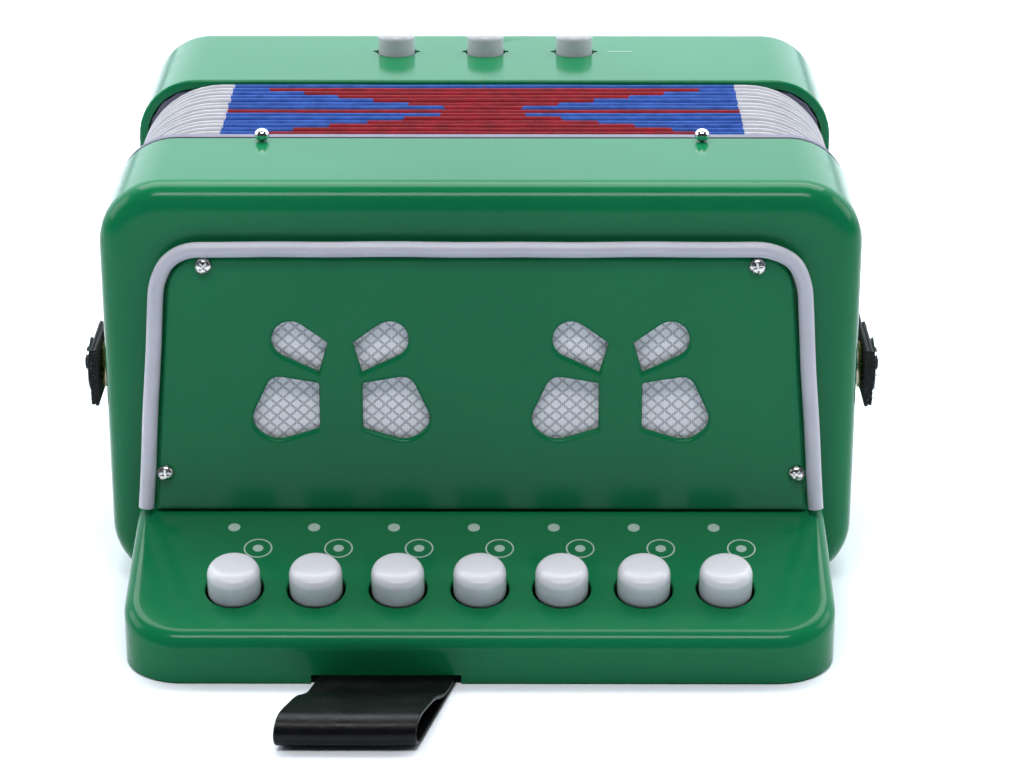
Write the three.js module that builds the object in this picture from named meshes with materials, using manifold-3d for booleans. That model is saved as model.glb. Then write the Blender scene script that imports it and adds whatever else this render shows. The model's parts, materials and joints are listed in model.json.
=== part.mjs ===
// A small toy button accordion at rest, bellows closed, lying with its buttons up.
// Millimetres. X runs along the row of buttons, +Y from the treble end to the bass end, +Z up.
// The origin is under the middle of the whole object, on the surface that it lies on.
import * as THREE from 'three';
import { mergeVertices } from 'three/addons/utils/BufferGeometryUtils.js';
import Module from 'manifold-3d';

const wasm = await Module();
wasm.setup();

// ---------- driving dimensions ----------

const GAP = 0.3; // clearance between two pieces that touch in the real object
const SEAM = 0.15; // clearance between two flat faces clamped together
const casing = { halfWidth: 87.5, height: 100, corner: 15, edge: 6, wall: 2.2, rimEdge: 0.9 };
const trebleDepth = 37.5;
const bellowsLength = 48;
const bassDepth = 47;
const shelf = { reach: 49.5, halfWidth: 80.2, corner: 14, edge: 3, wall: 2, backReach: 7, backHeight: 23 };
const shelfTilt = THREE.MathUtils.degToRad(15.5);
const thumbStrap = { reach: 32, left: -36, right: -5, thick: 1.3, skew: 0.25, tuck: 13 };
const handStrap = { rise: 13.7, halfLength: 68, width: 22, thick: 1.6 };

const panel = {
  low: 23, top: 84.2, bottomHalf: 75.7, topHalf: 70.9, corner: 8, plate: 2, bottomProud: 7.5, topProud: 2.4,
};
const piping = { radius: 1.8, bottomHalf: 77.9, topHalf: 73.1, top: 86.2, corner: 9.9 };
const butterfly = { centreX: 32.2, height: 56.5 };

const treble = { count: 7, pitch: 18.5, radius: 6, hole: 6.6, stand: 6.6, distance: 33 };
const key = { width: 6, pivotDepth: 6, armBelow: 3.3, armThick: 2.2, boss: 3, palletLow: 15, palletHigh: 31 };
const axleRadius = 1;
const axleBore = 1.3;

const bass = { count: 3, pitch: 23, radius: 4.75, hole: 5.1, top: 105.9, depth: 26.7 };
const rocker = { pivotDepth: 37, pivotHeight: 86, width: 6, reach: 16.5, drop: 24 };

const board = { thick: 2.2, trebleDepth: 12, bassDepth: 15 };
const bellows = { sections: 5, foldsPerSection: 3, corner: 22, sideInset: 0.7, foldDepth: 2.2, hollow: 11 };
const frame = { thick: 1.7, hollow: 9, gasket: 0.6 };
const sideStrap = {
  width: 14, thick: 1.3, doubled: 1.9, snapDepth: 18.5, tipDepth: 9, anchor: 32, stand: 2.5,
};
const snap = { radius: 6.5, cap: 2.2, height: 50 };

// ---------- places along the object ----------

const forward = shelf.reach + thumbStrap.reach;
const backward = trebleDepth + bellowsLength + bassDepth + handStrap.rise;
const trebleFace = (forward - backward) / 2;
const trebleRear = trebleFace + trebleDepth;
const bassRim = trebleRear + bellowsLength;
const bassEnd = bassRim + bassDepth;
const shelfTop = (y) => shelf.backHeight + (y - (trebleFace - shelf.backReach)) * Math.tan(shelfTilt);
const panelLean = Math.atan((panel.bottomProud - panel.topProud) / (panel.top - panel.low));
const panelFront = (z) => trebleFace - panel.bottomProud + (z - panel.low) * Math.tan(panelLean);

const looks = {
  green: { color: 0x14643c, roughness: 0.18, metalness: 0 },
  white: { color: 0xd7d7e1, roughness: 0.3, metalness: 0 },
  piping: { color: 0xc8c8d7, roughness: 0.45, metalness: 0 },
  cloth: { color: 0xb4b4c4, roughness: 0.7, metalness: 0 },
  leather: { color: 0x101012, roughness: 0.5, metalness: 0 },
  chrome: { color: 0xcfcfcf, roughness: 0.15, metalness: 1 },
  brass: { color: 0xb08d4a, roughness: 0.3, metalness: 1 },
  paper: { color: 0x3264c8, roughness: 0.6, metalness: 0 },
  frame: { color: 0x77708c, roughness: 0.6, metalness: 0 },
  rubber: { color: 0x0c0c10, roughness: 0.8, metalness: 0 },
  board: { color: 0xb9966a, roughness: 0.7, metalness: 0 },
};

const accordion = new THREE.Group();

// ---------- shaping helpers ----------

// A closed surface through rings of points that run counter-clockwise as seen from the first ring's side.
function loft(rings) {
  const count = rings[0].length;
  const points = rings.flat();
  const index = [];
  for (let r = 0; r + 1 < rings.length; r += 1) {
    for (let k = 0; k < count; k += 1) {
      const a = r * count + k;
      const b = r * count + ((k + 1) % count);
      index.push(a, b + count, b, a, a + count, b + count);
    }
  }
  const last = (rings.length - 1) * count;
  const middles = [rings[0], rings[rings.length - 1]].map((ring) =>
    ring.reduce((sum, p) => sum.add(p), new THREE.Vector3()).divideScalar(count));
  points.push(...middles);
  for (let k = 0; k < count; k += 1) {
    const next = (k + 1) % count;
    index.push(points.length - 2, k, next);
    index.push(points.length - 1, last + next, last + k);
  }
  const geometry = new THREE.BufferGeometry();
  geometry.setAttribute('position', new THREE.Float32BufferAttribute(points.flatMap((p) => p.toArray()), 3));
  geometry.setIndex(index);
  return geometry;
}

// A manifold solid from any closed geometry.
function solid(geometry) {
  const bare = geometry.clone();
  bare.deleteAttribute('normal');
  bare.deleteAttribute('uv');
  const merged = mergeVertices(bare, 1e-4);
  const triangles = [];
  for (let i = 0; i < merged.index.count; i += 3) {
    const [a, b, c] = [0, 1, 2].map((k) => merged.index.getX(i + k));
    if (a !== b && b !== c && c !== a) triangles.push(a, b, c);
  }
  return new wasm.Manifold(new wasm.Mesh({
    numProp: 3,
    vertProperties: Float32Array.from(merged.attributes.position.array),
    triVerts: Uint32Array.from(triangles),
  }));
}

function geometryOf(shape) {
  const mesh = shape.getMesh();
  const geometry = new THREE.BufferGeometry();
  geometry.setAttribute('position', new THREE.BufferAttribute(Float32Array.from(mesh.vertProperties), 3));
  geometry.setIndex(new THREE.BufferAttribute(Uint32Array.from(mesh.triVerts), 1));
  geometry.computeVertexNormals();
  return geometry;
}

// Adds one named piece; shape is a manifold solid.
function piece(name, shape, look) {
  const mesh = new THREE.Mesh(geometryOf(shape), new THREE.MeshStandardMaterial(looks[look]));
  mesh.name = name;
  accordion.add(mesh);
  return mesh;
}

function box(x0, x1, y0, y1, z0, z1) {
  const geometry = new THREE.BoxGeometry(x1 - x0, y1 - y0, z1 - z0);
  geometry.translate((x0 + x1) / 2, (y0 + y1) / 2, (z0 + z1) / 2);
  return solid(geometry);
}

// A round bar between two points.
function rod(radius, from, to, sides = 12) {
  const start = new THREE.Vector3(...from);
  const span = new THREE.Vector3(...to).sub(start);
  const geometry = new THREE.CylinderGeometry(radius, radius, span.length(), sides);
  geometry.translate(0, span.length() / 2, 0);
  const turn = new THREE.Quaternion().setFromUnitVectors(new THREE.Vector3(0, 1, 0), span.normalize());
  geometry.applyQuaternion(turn);
  geometry.translate(...from);
  return solid(geometry);
}

// A turned piece: [radius, height] pairs, standing on a point and pointing along a direction.
function turned(profile, at, direction, sides = 16) {
  const geometry = new THREE.LatheGeometry(profile.map(([r, h]) => new THREE.Vector2(r, h)), sides);
  const up = new THREE.Vector3(0, 1, 0);
  const turn = new THREE.Quaternion().setFromUnitVectors(up, direction.clone().normalize());
  geometry.applyQuaternion(turn);
  geometry.translate(...at);
  return solid(geometry);
}

// A flat outline with rounded corners, from [x, y, radius] corners.
function roundedPolygon(corners) {
  const shape = new THREE.Shape();
  corners.forEach(([x, y, radius], i) => {
    const here = new THREE.Vector2(x, y);
    const before = new THREE.Vector2(...corners.at(i - 1).slice(0, 2));
    const after = new THREE.Vector2(...corners[(i + 1) % corners.length].slice(0, 2));
    const enter = here.clone().add(before.sub(here).normalize().multiplyScalar(radius));
    const leave = here.clone().add(after.sub(here).normalize().multiplyScalar(radius));
    if (i === 0) shape.moveTo(enter.x, enter.y);
    else shape.lineTo(enter.x, enter.y);
    if (radius > 0) shape.quadraticCurveTo(here.x, here.y, leave.x, leave.y);
  });
  return shape;
}

// An outline drawn in X and Z, made solid from one Y to another.
function extrudeY(shape, near, far, curveSegments = 6) {
  const depth = far - near;
  const geometry = new THREE.ExtrudeGeometry(shape, { depth, bevelEnabled: false, curveSegments });
  geometry.rotateX(Math.PI / 2);
  geometry.translate(0, far, 0);
  return solid(geometry);
}

// An outline drawn in Y and Z, made solid from one X to another.
function extrudeX(shape, left, right, curveSegments = 6) {
  const depth = right - left;
  const geometry = new THREE.ExtrudeGeometry(shape, { depth, bevelEnabled: false, curveSegments });
  geometry.rotateX(Math.PI / 2);
  geometry.rotateZ(Math.PI / 2);
  geometry.translate(left, 0, 0);
  return solid(geometry);
}

// An outline drawn in X and Y, made solid from one Z to another.
function extrudeZ(shape, low, high, curveSegments = 6) {
  const depth = high - low;
  const geometry = new THREE.ExtrudeGeometry(shape, { depth, bevelEnabled: false, curveSegments });
  geometry.translate(0, 0, low);
  return solid(geometry);
}

// The casings' rounded rectangle, pulled in on all sides, at one Y.
function casingRing(y, inset, corner = casing.corner, cornerSteps = 4) {
  const radius = Math.max(corner - inset, 1);
  const halfWidth = casing.halfWidth - inset;
  const low = inset;
  const high = casing.height - inset;
  const centres = [
    [halfWidth - radius, low + radius],
    [halfWidth - radius, high - radius],
    [radius - halfWidth, high - radius],
    [radius - halfWidth, low + radius],
  ];
  return centres.flatMap(([x, z], quarter) =>
    Array.from({ length: cornerSteps + 1 }, (_, k) => {
      const angle = (Math.PI / 2) * (quarter - 1 + k / cornerSteps);
      return new THREE.Vector3(x + radius * Math.cos(angle), y, z + radius * Math.sin(angle));
    }));
}

// The casings' outer form between two Ys, with rounded end edges.
function casingForm(near, far, nearEdge, farEdge, inset) {
  const rings = [];
  const steps = 3;
  for (let k = 0; k <= (nearEdge > 0 ? steps : 0); k += 1) {
    const angle = (Math.PI / 2) * (nearEdge > 0 ? k / steps : 1);
    rings.push(casingRing(near + nearEdge * (1 - Math.cos(angle)), inset + nearEdge * (1 - Math.sin(angle))));
  }
  for (let k = farEdge > 0 ? steps : 0; k >= 0; k -= 1) {
    const angle = (Math.PI / 2) * (farEdge > 0 ? k / steps : 1);
    rings.push(casingRing(far - farEdge * (1 - Math.cos(angle)), inset + farEdge * (1 - Math.sin(angle))));
  }
  return solid(loft(rings));
}

function plate(near, far, inset, corner = casing.corner) {
  return solid(loft([casingRing(near, inset, corner), casingRing(far, inset, corner)]));
}

const rowX = (spec, i) => (i - (spec.count - 1) / 2) * spec.pitch;
const screwPlaces = [[-63, 82.2], [63, 82.2], [-73.2, 32.6], [73.2, 32.6]];
const screwHole = 1.3;
const keyPivot = [trebleFace + key.pivotDepth, 0];
keyPivot[1] = shelfTop(keyPivot[0]) - (key.armBelow + key.armThick / 2) / Math.cos(shelfTilt);
const rockerPivot = [bassRim + rocker.pivotDepth, rocker.pivotHeight];

// ---------- treble end ----------

function trebleCasing() {
  const sideBoss = { radius: 3.4, reach: 5 };
  const inner = casing.halfWidth - casing.wall;
  let shell = casingForm(trebleFace, trebleRear, casing.edge, 0, 0)
    .subtract(casingForm(trebleFace + casing.wall, trebleRear + 1, casing.edge - casing.wall, 0, casing.wall))
    .subtract(box(-66, 66, trebleFace - 1, trebleFace + 4, 31, 79))
    .subtract(box(-66, 66, trebleFace - 1, trebleFace + 4, 8, 26));
  for (const [x, z] of screwPlaces) {
    shell = shell.subtract(rod(screwHole, [x, trebleFace - 2, z], [x, trebleFace + 4, z], 12));
  }
  for (const side of [-1, 1]) {
    const wallFace = side * (inner + 1);
    const tip = side * (inner - sideBoss.reach);
    shell = shell
      .add(rod(sideBoss.radius, [wallFace, ...keyPivot], [tip, ...keyPivot]))
      .subtract(rod(axleBore, [side * inner, ...keyPivot], [tip - side, ...keyPivot], 12));
  }
  const pinX = 52;
  const pinY = trebleRear - 2.2;
  for (const side of [-1, 1]) {
    shell = shell.subtract(rod(1.2, [side * pinX, pinY, 96], [side * pinX, pinY, 101], 12));
    const head = [[0, -6], [0.9, -6], [0.9, GAP], [1.4, GAP], [1.8, 0.9], [1.75, 1.7], [1.2, 2.5], [0, 2.9]];
    const pin = turned(head, [side * pinX, pinY, casing.height], new THREE.Vector3(0, 0, 1), 10);
    piece(side < 0 ? 'bellows_pin_left' : 'bellows_pin_right', pin, 'chrome');
  }
  piece('treble_casing', shell, 'green');
}

// A slab behind a plane that lies a little way behind the leaning front of the grille panel.
function behindPanel(depth, thick) {
  const geometry = new THREE.BoxGeometry(200, thick, 160);
  geometry.translate(0, depth + thick / 2, 40);
  geometry.rotateX(-panelLean);
  geometry.translate(0, trebleFace - panel.bottomProud, panel.low);
  return solid(geometry);
}

function panelOutline(inset) {
  const low = inset > 0 ? panel.low - 5 : panel.low - 1;
  return roundedPolygon([
    [-panel.bottomHalf + inset, low, 0],
    [panel.bottomHalf - inset, low, 0],
    [panel.topHalf - inset, panel.top - inset, panel.corner],
    [-panel.topHalf + inset, panel.top - inset, panel.corner],
  ]);
}

// One wing of a butterfly cut-out; side is -1 for the left wing and 1 for the right.
function upperWing(side) {
  const round = { x: -11.4, z: 8.1, radius: 4.3 };
  const shape = new THREE.Shape();
  shape.moveTo(-2.9, 7.3);
  for (let k = 0; k <= 10; k += 1) {
    const angle = THREE.MathUtils.degToRad(55 + (189 * k) / 10);
    shape.lineTo(round.x + round.radius * Math.cos(angle), round.z + round.radius * Math.sin(angle));
  }
  shape.lineTo(-5.0, 0.3);
  return placedWing(shape.getPoints(), side);
}

function lowerWing(side) {
  const corners = [
    [-16.0, -0.5, 2.6], [-5.0, -2.3, 0.7], [-5.0, -13.2, 0.7], [-16.0, -16.6, 3.9], [-21.2, -11.6, 3.0],
  ];
  return placedWing(roundedPolygon(corners).getPoints(3), side);
}

function placedWing(points, side) {
  const placed = points.map((p) => new THREE.Vector2(-side * p.x, p.y + butterfly.height));
  return new THREE.Shape(side < 0 ? placed : placed.reverse());
}

function grillePanel() {
  const near = trebleFace - 14;
  const block = extrudeY(panelOutline(0), near, trebleFace - SEAM).intersect(behindPanel(0, 40));
  const hollow = extrudeY(panelOutline(panel.plate), near, trebleFace + 1);
  let cover = block.subtract(hollow.intersect(behindPanel(panel.plate, 40)));
  for (const [x, z] of screwPlaces) {
    cover = cover.add(rod(2.8, [x, near, z], [x, trebleFace, z]).intersect(block));
  }
  const underShelf = new THREE.BoxGeometry(200, 80, 40);
  underShelf.translate(0, 0, -20 + GAP);
  underShelf.rotateX(shelfTilt);
  underShelf.translate(0, trebleFace - shelf.backReach, shelf.backHeight);
  cover = cover.subtract(solid(underShelf));
  for (const centre of [-butterfly.centreX, butterfly.centreX]) {
    for (const side of [-1, 1]) {
      for (const wing of [upperWing(side), lowerWing(side)]) {
        const moved = new THREE.Shape(wing.getPoints().map((p) => new THREE.Vector2(p.x + centre, p.y)));
        cover = cover.subtract(extrudeY(moved, near, trebleFace));
      }
    }
  }
  const out = new THREE.Vector3(0, -1, 0);
  const names = ['upper_left', 'upper_right', 'lower_left', 'lower_right'];
  screwPlaces.forEach(([x, z], i) => {
    const front = panelFront(z);
    cover = cover.subtract(rod(screwHole, [x, front - 3, z], [x, trebleFace + 1, z], 12));
    const deep = front - trebleFace - 3;
    const head = [[0, deep], [1, deep], [1, GAP + 0.2], [2, GAP + 0.2], [1.9, 1.1], [1.2, 1.6], [0, 1.8]];
    piece(`panel_screw_${names[i]}`, turned(head, [x, front, z], out, 10), 'chrome');
  });
  piece('grille_panel', cover, 'green');
  const clothOutline = roundedPolygon([[-58, 38, 0], [58, 38, 0], [58, 71.5, 0], [-58, 71.5, 0]]);
  const cloth = extrudeY(clothOutline, near, trebleFace - 1);
  piece('grille_cloth', cloth.intersect(behindPanel(panel.plate + GAP, 0.5)), 'cloth');
}

function panelPiping() {
  const low = panel.low + 1.4;
  const at = (x, z) => new THREE.Vector3(x, panelFront(z) - 0.2, z);
  const slope = (piping.bottomHalf - piping.topHalf) / (piping.top - low);
  const path = new THREE.CurvePath();
  const shoulder = piping.top - piping.corner;
  const shoulderX = piping.topHalf + slope * piping.corner;
  const flatX = piping.topHalf - piping.corner;
  path.add(new THREE.LineCurve3(at(-piping.bottomHalf, low), at(-shoulderX, shoulder)));
  path.add(new THREE.QuadraticBezierCurve3(
    at(-shoulderX, shoulder), at(-piping.topHalf, piping.top), at(-flatX, piping.top)));
  path.add(new THREE.LineCurve3(at(-flatX, piping.top), at(flatX, piping.top)));
  path.add(new THREE.QuadraticBezierCurve3(
    at(flatX, piping.top), at(piping.topHalf, piping.top), at(shoulderX, shoulder)));
  path.add(new THREE.LineCurve3(at(shoulderX, shoulder), at(piping.bottomHalf, low)));
  const section = new THREE.Shape();
  section.absarc(0, 0, piping.radius, 0, 2 * Math.PI);
  const geometry = new THREE.ExtrudeGeometry(section, { extrudePath: path, steps: 44, curveSegments: 4 });
  piece('panel_piping', solid(geometry), 'piping');
}

// The plan outline of the fingerboard at one stage, as a ring whose heights follow a rule.
function shelfRing(inset, backY, height) {
  const half = shelf.halfWidth - inset;
  const front = trebleFace - shelf.reach + inset;
  const radius = shelf.corner - inset;
  const steps = 6;
  const leftSide = [new THREE.Vector2(-half, backY)];
  for (let k = 0; k <= steps; k += 1) {
    const angle = -Math.PI + (Math.PI / 2) * (k / steps);
    const x = -half + radius + radius * Math.cos(angle);
    leftSide.push(new THREE.Vector2(x, front + radius + radius * Math.sin(angle)));
  }
  const rightSide = leftSide.map((p) => new THREE.Vector2(-p.x, p.y)).reverse();
  return [...leftSide, ...rightSide].reverse().map((p) => new THREE.Vector3(p.x, p.y, height(p.y)));
}

function shelfForm(inset, backY, low) {
  const rings = [shelfRing(inset, backY, () => low)];
  const steps = 4;
  for (let k = 0; k <= steps; k += 1) {
    const angle = (Math.PI / 2) * (k / steps);
    const pull = inset + shelf.edge * (1 - Math.cos(angle));
    const drop = inset + shelf.edge * (1 - Math.sin(angle));
    rings.push(shelfRing(pull, backY, (y) => shelfTop(y) - drop));
  }
  return solid(loft(rings));
}

const shelfNormal = new THREE.Vector3(0, -Math.sin(shelfTilt), Math.cos(shelfTilt));
const buttonFoot = (i) => {
  const y = trebleFace - treble.distance;
  return new THREE.Vector3(rowX(treble, i), y, shelfTop(y));
};
const along = (point, distance) => point.clone().addScaledVector(shelfNormal, distance).toArray();

function fingerboard() {
  const front = trebleFace - shelf.reach;
  const slotLeft = thumbStrap.left - 2.5;
  const slotRight = thumbStrap.right + 1;
  const slotHeight = 2 * thumbStrap.thick + 1;
  let cover = shelfForm(0, trebleFace - SEAM, 0)
    .subtract(shelfForm(shelf.wall, trebleFace + 1, -1))
    .subtract(box(slotLeft, slotRight, front - 1, front + 4, -1, slotHeight));
  for (let i = 0; i < treble.count; i += 1) {
    const foot = buttonFoot(i);
    cover = cover.subtract(rod(treble.hole, along(foot, -6), along(foot, 6), 20));
  }
  piece('fingerboard_cover', cover, 'green');
  const level = (height) => () => height;
  const rim = shelf.wall + GAP;
  const base = solid(loft([
    shelfRing(rim, trebleFace - GAP, level(GAP)),
    shelfRing(rim, trebleFace - GAP, level(GAP + 1.5)),
  ])).subtract(box(slotLeft, slotRight, front - 1, front + thumbStrap.tuck + 2, -1, 4));
  piece('fingerboard_base', base, 'green');
}

// Seven sprung buttons; each presses one bent lever whose pad covers a hole in the soundboard.
function trebleAction() {
  const r = treble.radius;
  const profile = [
    [0, -3], [1.2, -2.7], [1.5, -1.4], [r, -1.4], [r, treble.stand - 1.9],
    [r - 0.8, treble.stand - 0.5], [r - 3, treble.stand], [0, treble.stand + 0.15],
  ];
  const [py, pz] = keyPivot;
  const cos = Math.cos(shelfTilt);
  const sin = Math.sin(shelfTilt);
  const armLength = (treble.distance + key.pivotDepth) / cos + 4;
  const half = key.armThick / 2;
  for (let i = 0; i < treble.count; i += 1) {
    const x = rowX(treble, i);
    piece(`treble_button_${i + 1}`, turned(profile, buttonFoot(i).toArray(), shelfNormal), 'white');
    const arm = new THREE.Shape([
      [-armLength * cos - half * sin, -armLength * sin + half * cos],
      [-armLength * cos + half * sin, -armLength * sin - half * cos],
      [half * sin, -half * cos],
      [-half * sin, half * cos],
    ].map(([y, z]) => new THREE.Vector2(py + y, pz + z)));
    const lever = extrudeX(arm, x - key.width / 2, x + key.width / 2)
      .add(rod(key.boss, [x - key.width / 2, py, pz], [x + key.width / 2, py, pz]))
      .add(box(x - key.width / 2, x + key.width / 2, py - 1, py + 1.5, pz, pz + key.palletHigh - 1))
      .add(box(x - 6.5, x + 6.5, py + 1.4, py + board.trebleDepth - key.pivotDepth - GAP,
        pz + key.palletLow, pz + key.palletHigh))
      .subtract(rod(axleBore, [x - key.width, py, pz], [x + key.width, py, pz], 8));
    piece(`key_lever_${i + 1}`, lever, 'white');
  }
  const end = casing.halfWidth - casing.wall - GAP;
  piece('key_axle', rod(axleRadius, [-end, py, pz], [end, py, pz], 12), 'chrome');
}

// A plate of brass with one slot and one riveted tongue for each reed.
function reedPlate(near, low, high, places, pitch) {
  const thick = 1.2;
  const edge = 6;
  const slot = { width: 2.2, length: 12 };
  const ends = [places[0] - pitch / 2 - edge, places.at(-1) + pitch / 2 + edge];
  let shape = box(ends[0], ends[1], near, near + thick, low, high);
  const middle = (low + high) / 2;
  for (const x of places) {
    for (const reedX of [x - pitch / 2, x + pitch / 2]) {
      shape = shape
        .subtract(box(reedX - slot.width / 2, reedX + slot.width / 2, near - 1, near + thick + 1,
          middle - slot.length / 2, middle + slot.length / 2))
        .add(box(reedX - slot.width / 2 + 0.3, reedX + slot.width / 2 - 0.3,
          near + thick - 0.1, near + thick + 0.4,
          middle - slot.length / 2 + 1, middle + slot.length / 2 + 3));
    }
  }
  return shape;
}

function soundboard(near, places, width, low, high) {
  let shape = plate(near, near + board.thick, casing.wall + GAP);
  for (const x of places) {
    shape = shape.subtract(box(x - width / 2, x + width / 2, near - 1, near + 4, low, high));
  }
  return shape;
}

function trebleInside() {
  const near = trebleFace + board.trebleDepth;
  const places = Array.from({ length: treble.count }, (_, i) => rowX(treble, i));
  const low = keyPivot[1] + key.palletLow + 2.5;
  const high = keyPivot[1] + key.palletHigh - 2.5;
  piece('treble_soundboard', soundboard(near, places, 8, low, high), 'board');
  piece('treble_reed_plate', reedPlate(near + board.thick + SEAM, low - 4, high + 4, places, 5.5), 'brass');
}

// ---------- bellows ----------

function ringPlate(near, far, inset, hollow, corner = casing.corner) {
  return plate(near, far, inset, corner).subtract(plate(near - 1, far + 1, hollow, corner));
}

const bellowsStart = trebleRear + SEAM + frame.gasket + SEAM + frame.thick + SEAM;
const bellowsEnd = bassRim - SEAM;

function bellowsParts() {
  const gasketNear = trebleRear + SEAM;
  const frameNear = gasketNear + frame.gasket + SEAM;
  piece('bellows_gasket', ringPlate(gasketNear, gasketNear + frame.gasket, 0.3, frame.hollow), 'rubber');
  piece('treble_bellows_frame', ringPlate(frameNear, frameNear + frame.thick, 0.15, frame.hollow), 'frame');
  const step = (bellowsEnd - bellowsStart) / bellows.sections;
  for (let s = 0; s < bellows.sections; s += 1) {
    const near = bellowsStart + s * step;
    const fold = (step - GAP) / bellows.foldsPerSection;
    const rings = [];
    for (let f = 0; f < bellows.foldsPerSection; f += 1) {
      const valley = bellows.sideInset + bellows.foldDepth;
      if (f === 0) rings.push(casingRing(near, valley, bellows.corner));
      rings.push(casingRing(near + (f + 0.5) * fold, bellows.sideInset, bellows.corner));
      rings.push(casingRing(near + (f + 1) * fold, valley, bellows.corner));
    }
    const inside = plate(near - 1, near + step + 1, bellows.hollow, bellows.corner);
    const ring = solid(loft(rings)).subtract(inside);
    piece(`bellows_section_${s + 1}`, ring, 'paper');
  }
  const inside = casing.wall + GAP;
  piece('bass_bellows_frame', ringPlate(bassRim + SEAM, bassRim + 3, inside, frame.hollow + 2), 'frame');
}

// ---------- bass end ----------

const bassNames = ['bass_button_1', 'bass_button_2', 'air_button'];
const rockerNames = ['bass_rocker_1', 'bass_rocker_2', 'air_valve_rocker'];

function bassCasing() {
  const [py, pz] = rockerPivot;
  const inner = casing.height - casing.wall;
  let shell = casingForm(bassRim, bassEnd, casing.rimEdge, casing.edge, 0)
    .subtract(casingForm(bassRim - 1, bassEnd - casing.wall, 0, casing.edge - casing.wall, casing.wall));
  const earX = 32;
  for (const side of [-1, 1]) {
    const ear = box(side * earX - 1.2, side * earX + 1.2, py - 3.2, py + 3.2, pz - 3, inner + 1);
    shell = shell.add(ear).subtract(rod(axleBore, [side * earX - 2, py, pz], [side * earX + 2, py, pz], 12));
  }
  const y = bassRim + bass.depth;
  for (let i = 0; i < bass.count; i += 1) {
    const x = rowX(bass, i);
    shell = shell
      .subtract(rod(bass.hole, [x, y, inner - 1], [x, y, inner + 4], 20))
      .subtract(box(x - bass.hole - 0.7, x + bass.hole + 0.7, y - 0.7, y + 0.7, inner - 1, inner + 4));
  }
  piece('bass_casing', shell, 'green');
  piece('rocker_axle', rod(axleRadius, [-36, py, pz], [36, py, pz], 12), 'chrome');
}

function bassAction() {
  const [py, pz] = rockerPivot;
  const armTop = 2.2;
  const y = bassRim + bass.depth;
  const r = bass.radius;
  const stemLow = pz + armTop + 0.4;
  const profile = [
    [0, stemLow], [0.8, stemLow + 0.2], [1, 96.5], [r, 96.5], [r, bass.top - 1.7],
    [r - 0.6, bass.top - 0.8], [r - 2, bass.top - 0.2], [0, bass.top + 0.3],
  ];
  const padFace = board.bassDepth + board.thick + GAP - rocker.pivotDepth;
  for (let i = 0; i < bass.count; i += 1) {
    const x = rowX(bass, i);
    piece(bassNames[i], turned(profile, [x, y, 0], new THREE.Vector3(0, 0, 1)), 'white');
    const half = rocker.width / 2;
    const lever = box(x - half, x + half, py - rocker.reach, py + 2.5, pz + 0.2, pz + armTop)
      .add(rod(3, [x - half, py, pz - 0.6], [x + half, py, pz - 0.6]))
      .add(box(x - half, x + half, py - rocker.reach, py - rocker.reach + 2.5, pz - rocker.drop, pz + armTop))
      .add(box(x - 6.5, x + 6.5, py + padFace, py - rocker.reach + 0.1, pz - rocker.drop, pz - 10))
      .subtract(rod(axleBore, [x - 5, py, pz], [x + 5, py, pz], 8));
    piece(rockerNames[i], lever, 'white');
  }
  const near = bassRim + board.bassDepth;
  const places = Array.from({ length: bass.count }, (_, i) => rowX(bass, i));
  piece('bass_soundboard', soundboard(near, places, 8, pz - rocker.drop + 2.5, pz - 12.5), 'board');
  piece('bass_reed_plate', reedPlate(near - 2.2, 56, 80, places.slice(0, 2), 6), 'brass');
}

// ---------- straps ----------

// The black loop under the fingerboard that a thumb goes through, lying forward on the surface.
function thumbLoop() {
  const front = trebleFace - shelf.reach;
  const low = GAP;
  const flat = low + 2 * thumbStrap.thick + 0.1;
  const outer = [
    [-8, flat], [0, flat], [8, flat], [13, 3.7], [17, 5.3], [21, 7.0], [25.5, 8.0], [29, 7.4], [31.3, 5.6],
    [32, 3.8], [31.2, 1.8], [29.4, 0.6], [27, low], [16, low], [6, low], [-8, low],
  ];
  const hollow = [
    [12, 1.75], [15, 3.1], [18, 4.6], [21.5, 6.1], [25, 6.7], [28.4, 6.1],
    [30.2, 4.6], [30.5, 3.4], [29.6, 2.0], [27.5, 1.6], [20, 1.6],
  ];
  const points = (list) => list.map(([reach, z]) => new THREE.Vector2(front - reach, z));
  const shape = new THREE.Shape([
    new THREE.Vector2(front + thumbStrap.tuck, low),
    new THREE.Vector2(front + thumbStrap.tuck, flat),
    ...points(outer),
  ]);
  shape.holes.push(new THREE.Path(points(hollow)));
  const depth = thumbStrap.right - thumbStrap.left;
  const geometry = new THREE.ExtrudeGeometry(shape, { depth, bevelEnabled: false });
  geometry.rotateX(Math.PI / 2);
  geometry.rotateZ(Math.PI / 2);
  geometry.translate(thumbStrap.left, 0, 0);
  const position = geometry.attributes.position;
  for (let i = 0; i < position.count; i += 1) {
    const reach = Math.max(0, front - position.getY(i));
    position.setX(i, position.getX(i) - thumbStrap.skew * reach);
  }
  piece('thumb_strap', solid(geometry), 'leather');
}

// How far the inner face of a side strap stands off the casings at one Y.
function strapStand(y) {
  const t = THREE.MathUtils.clamp((bassRim - 6 - y) / (bassRim - 6 - (trebleFace + 30)), 0, 1);
  return GAP + (sideStrap.stand - GAP) * t * t * (3 - 2 * t);
}

const hingeY = bassRim + sideStrap.anchor;
const snapY = trebleFace + sideStrap.snapDepth;

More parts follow.
